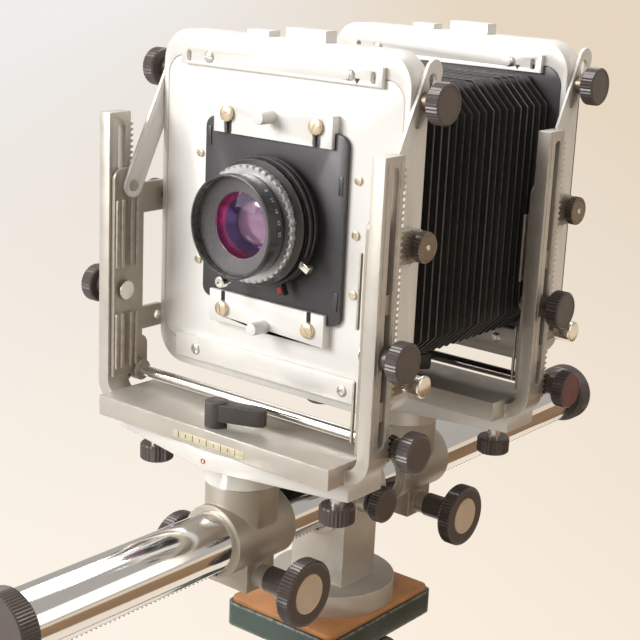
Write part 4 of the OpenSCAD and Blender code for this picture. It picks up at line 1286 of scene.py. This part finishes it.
@dataclass
class Bellows:
    """The pleated bellows, in zones, one for each joint from the front frame to the rear one."""

    start: float
    end: float
    lens_z: float
    folds: int = 19
    outer: float = 73.6 * MM
    inner: float = 61.5 * MM
    corner_out: float = 15.0 * MM
    corner_in: float = 3.0 * MM
    chain: tuple = (("front_frame", "front_brackets", 1.0), ("front_brackets", "front_yoke", 1.5),
                    ("front_yoke", "front_base", 1.0), ("front_base", "front_carrier", 1.0),
                    ("front_carrier", "rail", 6.0), ("rail", "rear_carrier", 4.0),
                    ("rear_carrier", "rear_base", 1.0), ("rear_base", "rear_yoke", 1.0),
                    ("rear_yoke", "rear_brackets", 1.5), ("rear_brackets", "rear_frame", 1.0))

    def build(self) -> None:
        """Makes the zones one after the other, from the front frame to the rear one."""
        half_fold = (self.end - self.start) / (2 * self.folds)
        line = 0
        for index, (before, after, folds) in enumerate(self.chain):
            lines = round(folds * 2)
            piece = self._zone(f"bellows_zone_{index}", line, lines, half_fold)
            piece.data.materials.append(PLEATS.material())
            take(piece)
            bpy.ops.object.shade_smooth_by_angle(angle=math.radians(40))
            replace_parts(piece, "bellows")
            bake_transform(piece)
            LOG.info("%s: %d folds between %s and %s", piece.name, folds, before, after)
            line += lines
        self._flange()

    def _ring(self, line: float, half_fold: float) -> list[Vector]:
        """Returns the points of one fold line; a line between two folds is between their sizes."""
        away = abs((line % 2) - 1)
        half = self.inner + (self.outer - self.inner) * (1 - away)
        corner = self.corner_in + (self.corner_out - self.corner_in) * (1 - away)
        y = self.start + line * half_fold
        points = []
        for sx, sz in ((1, 1), (-1, 1), (-1, -1), (1, -1)):
            first = (sx * half, sz * (half - corner))
            second = (sx * (half - corner), sz * half)
            for x, z in (first, second) if sx * sz > 0 else (second, first):
                points.append(Vector((x, y, self.lens_z + z)))
        return points

    def _zone(self, name: str, line: int, lines: int, half_fold: float) -> bpy.types.Object:
        """Folds one zone from its rings and gives the cloth its thickness.

        Args:
            name: The piece's name.
            line: The zone's first fold line.
            lines: How many half folds it holds.
            half_fold: Distance between fold lines.

        Returns:
            The zone, with no parent.
        """
        cuts = 3
        mesh = bmesh.new()
        rings = [[mesh.verts.new(p) for p in self._ring(line + i / cuts, half_fold)]
                 for i in range(lines * cuts + 1)]
        for near, far in zip(rings, rings[1:]):
            for i in range(len(near)):
                j = (i + 1) % len(near)
                mesh.faces.new((near[i], near[j], far[j], far[i]))
        data = bpy.data.meshes.new(name)
        mesh.to_mesh(data)
        mesh.free()
        piece = bpy.data.objects.new(name, data)
        bpy.context.scene.collection.objects.link(piece)
        take(piece)
        bpy.ops.object.mode_set(mode="EDIT")
        bpy.ops.mesh.select_all(action="SELECT")
        bpy.ops.mesh.normals_make_consistent(inside=False)
        bpy.ops.object.mode_set(mode="OBJECT")
        wall = piece.modifiers.new("cloth", "SOLIDIFY")
        wall.thickness = 0.7 * MM
        wall.offset = -1.0
        bpy.ops.object.modifier_apply(modifier=wall.name)
        return piece

    def _flange(self) -> None:
        """Makes the plate that holds the bellows behind the front frame."""
        y = self.start - 2.0 * MM
        outline = rounded(150 * MM, 150 * MM, 8 * MM, (0.0, self.lens_z))
        plate = slab("bellows_flange", outline, Axis.Y, y, y + 1.8 * MM)
        opening = rounded(122 * MM, 122 * MM, 4 * MM, (0.0, self.lens_z))
        hole = slab("hole_tool", opening, Axis.Y, y - MM, y + 4 * MM)
        plate = bevelled(cut(plate, hole), 0.3 * MM)
        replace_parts(done(plate, BOARD_BLACK, "front_frame"), "bellows")


@dataclass
class Back:
    """The frame behind the rear standard, with the ground glass."""

    lens_z: float

    def build(self) -> None:
        """Dresses the back and adds its guide lines and screws."""
        done(softened("bellows_plate", "bellows_end_plate", 0.4 * MM), BOARD_BLACK, "rear_frame")
        done(softened("back_frame", "back_casting", 0.8 * MM), BLACK_METAL, "rear_frame")
        glass = softened("ground_glass", "ground_glass_and_frame", 0.5 * MM)
        glass.data.materials.append(BLACK_METAL.material())
        low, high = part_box("ground_glass")
        coat(glass, GROUND_GLASS, lambda c, n: abs(c.x) < 63.9 * MM and abs(c.z - self.lens_z) < 51.9 * MM
             and low.y + 0.9 * MM < c.y < low.y + 3.6 * MM)
        done(glass, BLACK_METAL, "ground_glass")
        back = low.y + 3.5 * MM
        lines = []
        for x in (-50, 50):
            lines.append((Vector((x * MM, back + 0.05 * MM, self.lens_z)), Vector((0.25, 0.1, 84)) * MM))
        for z in (-42, 0, 42):
            lines.append((Vector((0, back + 0.05 * MM, self.lens_z + z * MM)), Vector((100, 0.1, 0.25)) * MM))
        marks("guide_lines", lines, DARK_PAINT, "ground_glass")
        for index, (sx, sz) in enumerate(((-1, -1), (-1, 1), (1, -1), (1, 1))):
            Screw(f"back_screw_{index}", Axis.Y, (sx * 69.5 * MM, self.lens_z + sz * 57.5 * MM), high.y, 1,
                  2.3 * MM, "ground_glass", STEEL, 0.6 * MM, 30 * index).build()


@dataclass
class Rail:
    """The chromed rail with its rack and knurled end caps."""

    def build(self) -> None:
        """Dresses the tube and the rack, and turns the caps."""
        low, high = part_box("rail_tube")
        radius = (high.z - low.z) / 2
        done(softened("rail_tube", "chromed_tube", 0.3 * MM), CHROME, "rail")
        done(softened("rail_rack", "rack_strip", 0.15 * MM), RACK, "rail")
        cap_low, cap_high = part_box("rail_caps")
        centre = (0.0, (cap_low.z + cap_high.z) / 2)
        cap_radius = (cap_high.z - cap_low.z) / 2
        for name, root, tip in (("front", low.y, cap_low.y), ("rear", high.y, cap_high.y)):
            cap = Knob(f"rail_cap_{name}", Axis.Y, centre, root, tip, cap_radius, "rail", neck_share=0.04,
                       neck_radius=radius * 0.9, teeth=72, knurl=0.5 * MM).build()
            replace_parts(cap, "rail_caps")


@dataclass
class Stand:
    """The stand: platform, block, pan base, crown and three legs."""

    def build(self) -> None:
        """Makes every piece of the stand."""
        self._platform()
        done(softened("tripod_block", "rail_block", 0.9 * MM), PALE_CASTING, "platform")
        done(softened("tripod_crown", "crown_casting", 0.8 * MM), GREEN, "crown")
        done(softened("pan_base", "pan_casting", 0.8 * MM), GREEN, "pan")
        self._locks()
        for leg in ("1", "2", "3"):
            done(softened(f"leg_upper_{leg}", f"upper_leg_{leg}", 0.6 * MM), LEG_BLACK, f"leg_upper_{leg}")
            lower = softened(f"leg_lower_{leg}", f"lower_leg_{leg}", 0.3 * MM)
            lower.data.materials.append(LEG_SILVER.material())
            foot_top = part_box(f"leg_lower_{leg}")[0].z + 23.5 * MM
            coat(lower, RUBBER, lambda c, n: c.z < foot_top)
            done(lower, LEG_SILVER, f"leg_lower_{leg}")

    def _platform(self) -> None:
        """Makes the green casting and the leather pads on it."""
        done(softened("tilt_platform", "platform_casting", 1.0 * MM), GREEN, "platform")
        done(softened("platform_pads", "leather_pads", 0.7 * MM), PAD, "platform")

    def _locks(self) -> None:
        """Makes the lock knobs of the block and of the tilting head."""
        low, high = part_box("block_lock")
        knob = Knob("block_lock_knob", Axis.X, middle_across(low, high), BLOCK_SIDE, high.x,
                    (high.y - low.y) / 2, "block_lock").build()
        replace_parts(knob, "block_lock")
        low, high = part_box("tilt_lock")
        centre = middle_across(low, high)
        knob = Knob("tilt_lock_knob", Axis.X, centre, TILT_FORK, high.x, (high.y - low.y) / 2, "tilt_lock",
                    neck_radius=8 * MM, teeth=44, insert=6 * MM).build()
        profile = [(low.x, 0), (low.x, 7.2 * MM), (low.x + 0.8 * MM, 8 * MM), (-TILT_FORK, 8 * MM),
                   (-TILT_FORK, 5 * MM), (TILT_FORK, 5 * MM), (TILT_FORK, 0)]
        pin = turned("tilt_lock_pin", profile, Axis.X, centre, 40)
        done(pin, STEEL, "tilt_lock")
        for piece in (knob, pin):
            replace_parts(piece, "tilt_lock")


# ---------------------------------------------------------------- studio


@dataclass
class Studio:
    """The pale floor, the soft lights and the camera that looks at the object."""

    eye: Point = (0.49016, -0.65447, 0.98699)
    yaw: float = 38.21
    pitch: float = 15.17
    roll: float = 2.65
    lens: float = 82.79

    def build(self) -> None:
        """Makes the floor, the world, the lights and the camera."""
        self._floor()
        self._world()
        self._light("key", (-1.3, -2.3, 1.9), (0, 0, 0.8), 1.6, 82, (1.0, 0.99, 0.97))
        self._light("top", (-0.5, 0.6, 2.6), (0, 0, 0.8), 1.4, 34, (1.0, 0.98, 0.95))
        self._light("side", (2.0, 0.3, 1.4), (0, 0, 0.8), 1.2, 6, (1.0, 0.86, 0.7))
        self._card()
        self._camera()
        bpy.context.scene.view_settings.view_transform = "Standard"

    def _floor(self) -> None:
        """Makes a wide floor that glows with painted light, white on the left and warmer and darker to the
        right.
        """
        clear_selection()
        bpy.ops.mesh.primitive_plane_add(size=60, location=(0, 0, 0))
        floor = bpy.context.object
        floor.name = "studio_floor_painted_light"
        g = Graph("studio_floor_painted_light")
        split = g.tree.nodes.new("ShaderNodeSeparateXYZ")
        turn = g.tree.nodes.new("ShaderNodeVectorRotate")
        turn.inputs["Angle"].default_value = -math.radians(self.yaw)
        g.link(g.coordinates, turn.inputs["Vector"])
        g.link(turn.outputs["Vector"], split.inputs["Vector"])
        # Painted light: the base and glow colours run from pale on the left of the view to warm brown on the
        # right, standing in for the fall of the light.
        share = g.spread(split.outputs["X"], 0.0, 1.0, -2.4, 1.6)
        g.link(g.blend(share, (0.25, 0.24, 0.225), (0.20, 0.16, 0.12)), g.shader.inputs["Base Color"])
        g.link(g.blend(share, (1.0, 1.0, 1.0), (0.93, 0.80, 0.64)), g.shader.inputs["Emission Color"])
        # Painted light: the floor glows for camera, glossy and transmission rays, though it is no lamp.
        ray = g.tree.nodes.new("ShaderNodeLightPath")
        seen = ray.outputs["Is Camera Ray"]
        for kind in ("Is Glossy Ray", "Is Transmission Ray"):
            either = g.tree.nodes.new("ShaderNodeMath")
            either.operation = "MAXIMUM"
            g.link(seen, either.inputs[0])
            g.link(ray.outputs[kind], either.inputs[1])
            seen = either.outputs[0]
        g.link(g.spread(seen, 0.0, 0.74), g.shader.inputs["Emission Strength"])
        g.shader.inputs["Roughness"].default_value = 0.9
        g.shader.inputs["Specular IOR Level"].default_value = 0.1
        floor.data.materials.append(g.material)

    def _card(self) -> None:
        """Stands a tan card beside the rail, where only reflections and soft light meet it."""
        clear_selection()
        bpy.ops.mesh.primitive_plane_add(size=1, location=(0, 0, 0))
        card = bpy.context.object
        card.name = "studio_card"
        card.data.transform(Matrix(((-1.9, 0, 1, 0.35), (2.6, 0, 1, 0.7), (0, 0.52, 0, 0.27), (0, 0, 0, 1))))
        g = Graph("studio_card")
        g.shader.inputs["Base Color"].default_value = (0.30, 0.19, 0.11, 1)
        g.shader.inputs["Roughness"].default_value = 0.9
        card.data.materials.append(g.material)
        card.visible_camera = False
        card.visible_shadow = False

    def _world(self) -> None:
        """Lights everything softly from all round."""
        world = bpy.data.worlds.new("studio")
        world.use_nodes = True
        ground = world.node_tree.nodes["Background"]
        ground.inputs["Color"].default_value = (1.0, 0.95, 0.88, 1)
        ground.inputs["Strength"].default_value = 0.46
        bpy.context.scene.world = world

    def _light(self, name: str, place: Point, target: Point, size: float, power: float, color: Point) -> None:
        """Hangs one soft light."""
        data = bpy.data.lights.new(name, "AREA")
        data.size = size
        data.energy = power
        data.color = color
        lamp = bpy.data.objects.new(name, data)
        bpy.context.scene.collection.objects.link(lamp)
        lamp.location = place
        lamp.rotation_euler = (Vector(target) - Vector(place)).to_track_quat("-Z", "Y").to_euler()

    def _camera(self) -> None:
        """Sets up the camera from its place and its three angles."""
        a, e, r = (math.radians(v) for v in (self.yaw, self.pitch, self.roll))
        back = Vector((math.sin(a) * math.cos(e), -math.cos(a) * math.cos(e), math.sin(e)))
        right = (-back).cross(Vector((0, 0, 1))).normalized()
        up = right.cross(-back)
        level = (right * math.cos(r) + up * math.sin(r), up * math.cos(r) - right * math.sin(r))
        data = bpy.data.cameras.new("camera")
        data.lens = self.lens
        camera = bpy.data.objects.new("camera", data)
        bpy.context.scene.collection.objects.link(camera)
        turn = Matrix((level[0], level[1], back)).transposed()
        camera.matrix_world = Matrix.Translation(self.eye) @ turn.to_4x4()
        bpy.context.scene.camera = camera


def main() -> None:
    """Builds the sub-assemblies in order."""
    logging.basicConfig(level=logging.INFO, format="%(name)s %(message)s")
    Studio().build()
    board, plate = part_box("adapter_board"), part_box("bellows_plate")
    lens_z = (board[0].z + board[1].z) / 2
    Standard("front", board[0].y, lens_z).build()
    Standard("rear", plate[0].y, lens_z).build()
    LensSet(board[0].y, lens_z).build()
    Bellows(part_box("bellows")[0].y + 2.2 * MM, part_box("bellows")[1].y, lens_z).build()
    Back(lens_z).build()
    Rail().build()
    Stand().build()


if __name__ == "__main__":
    main()
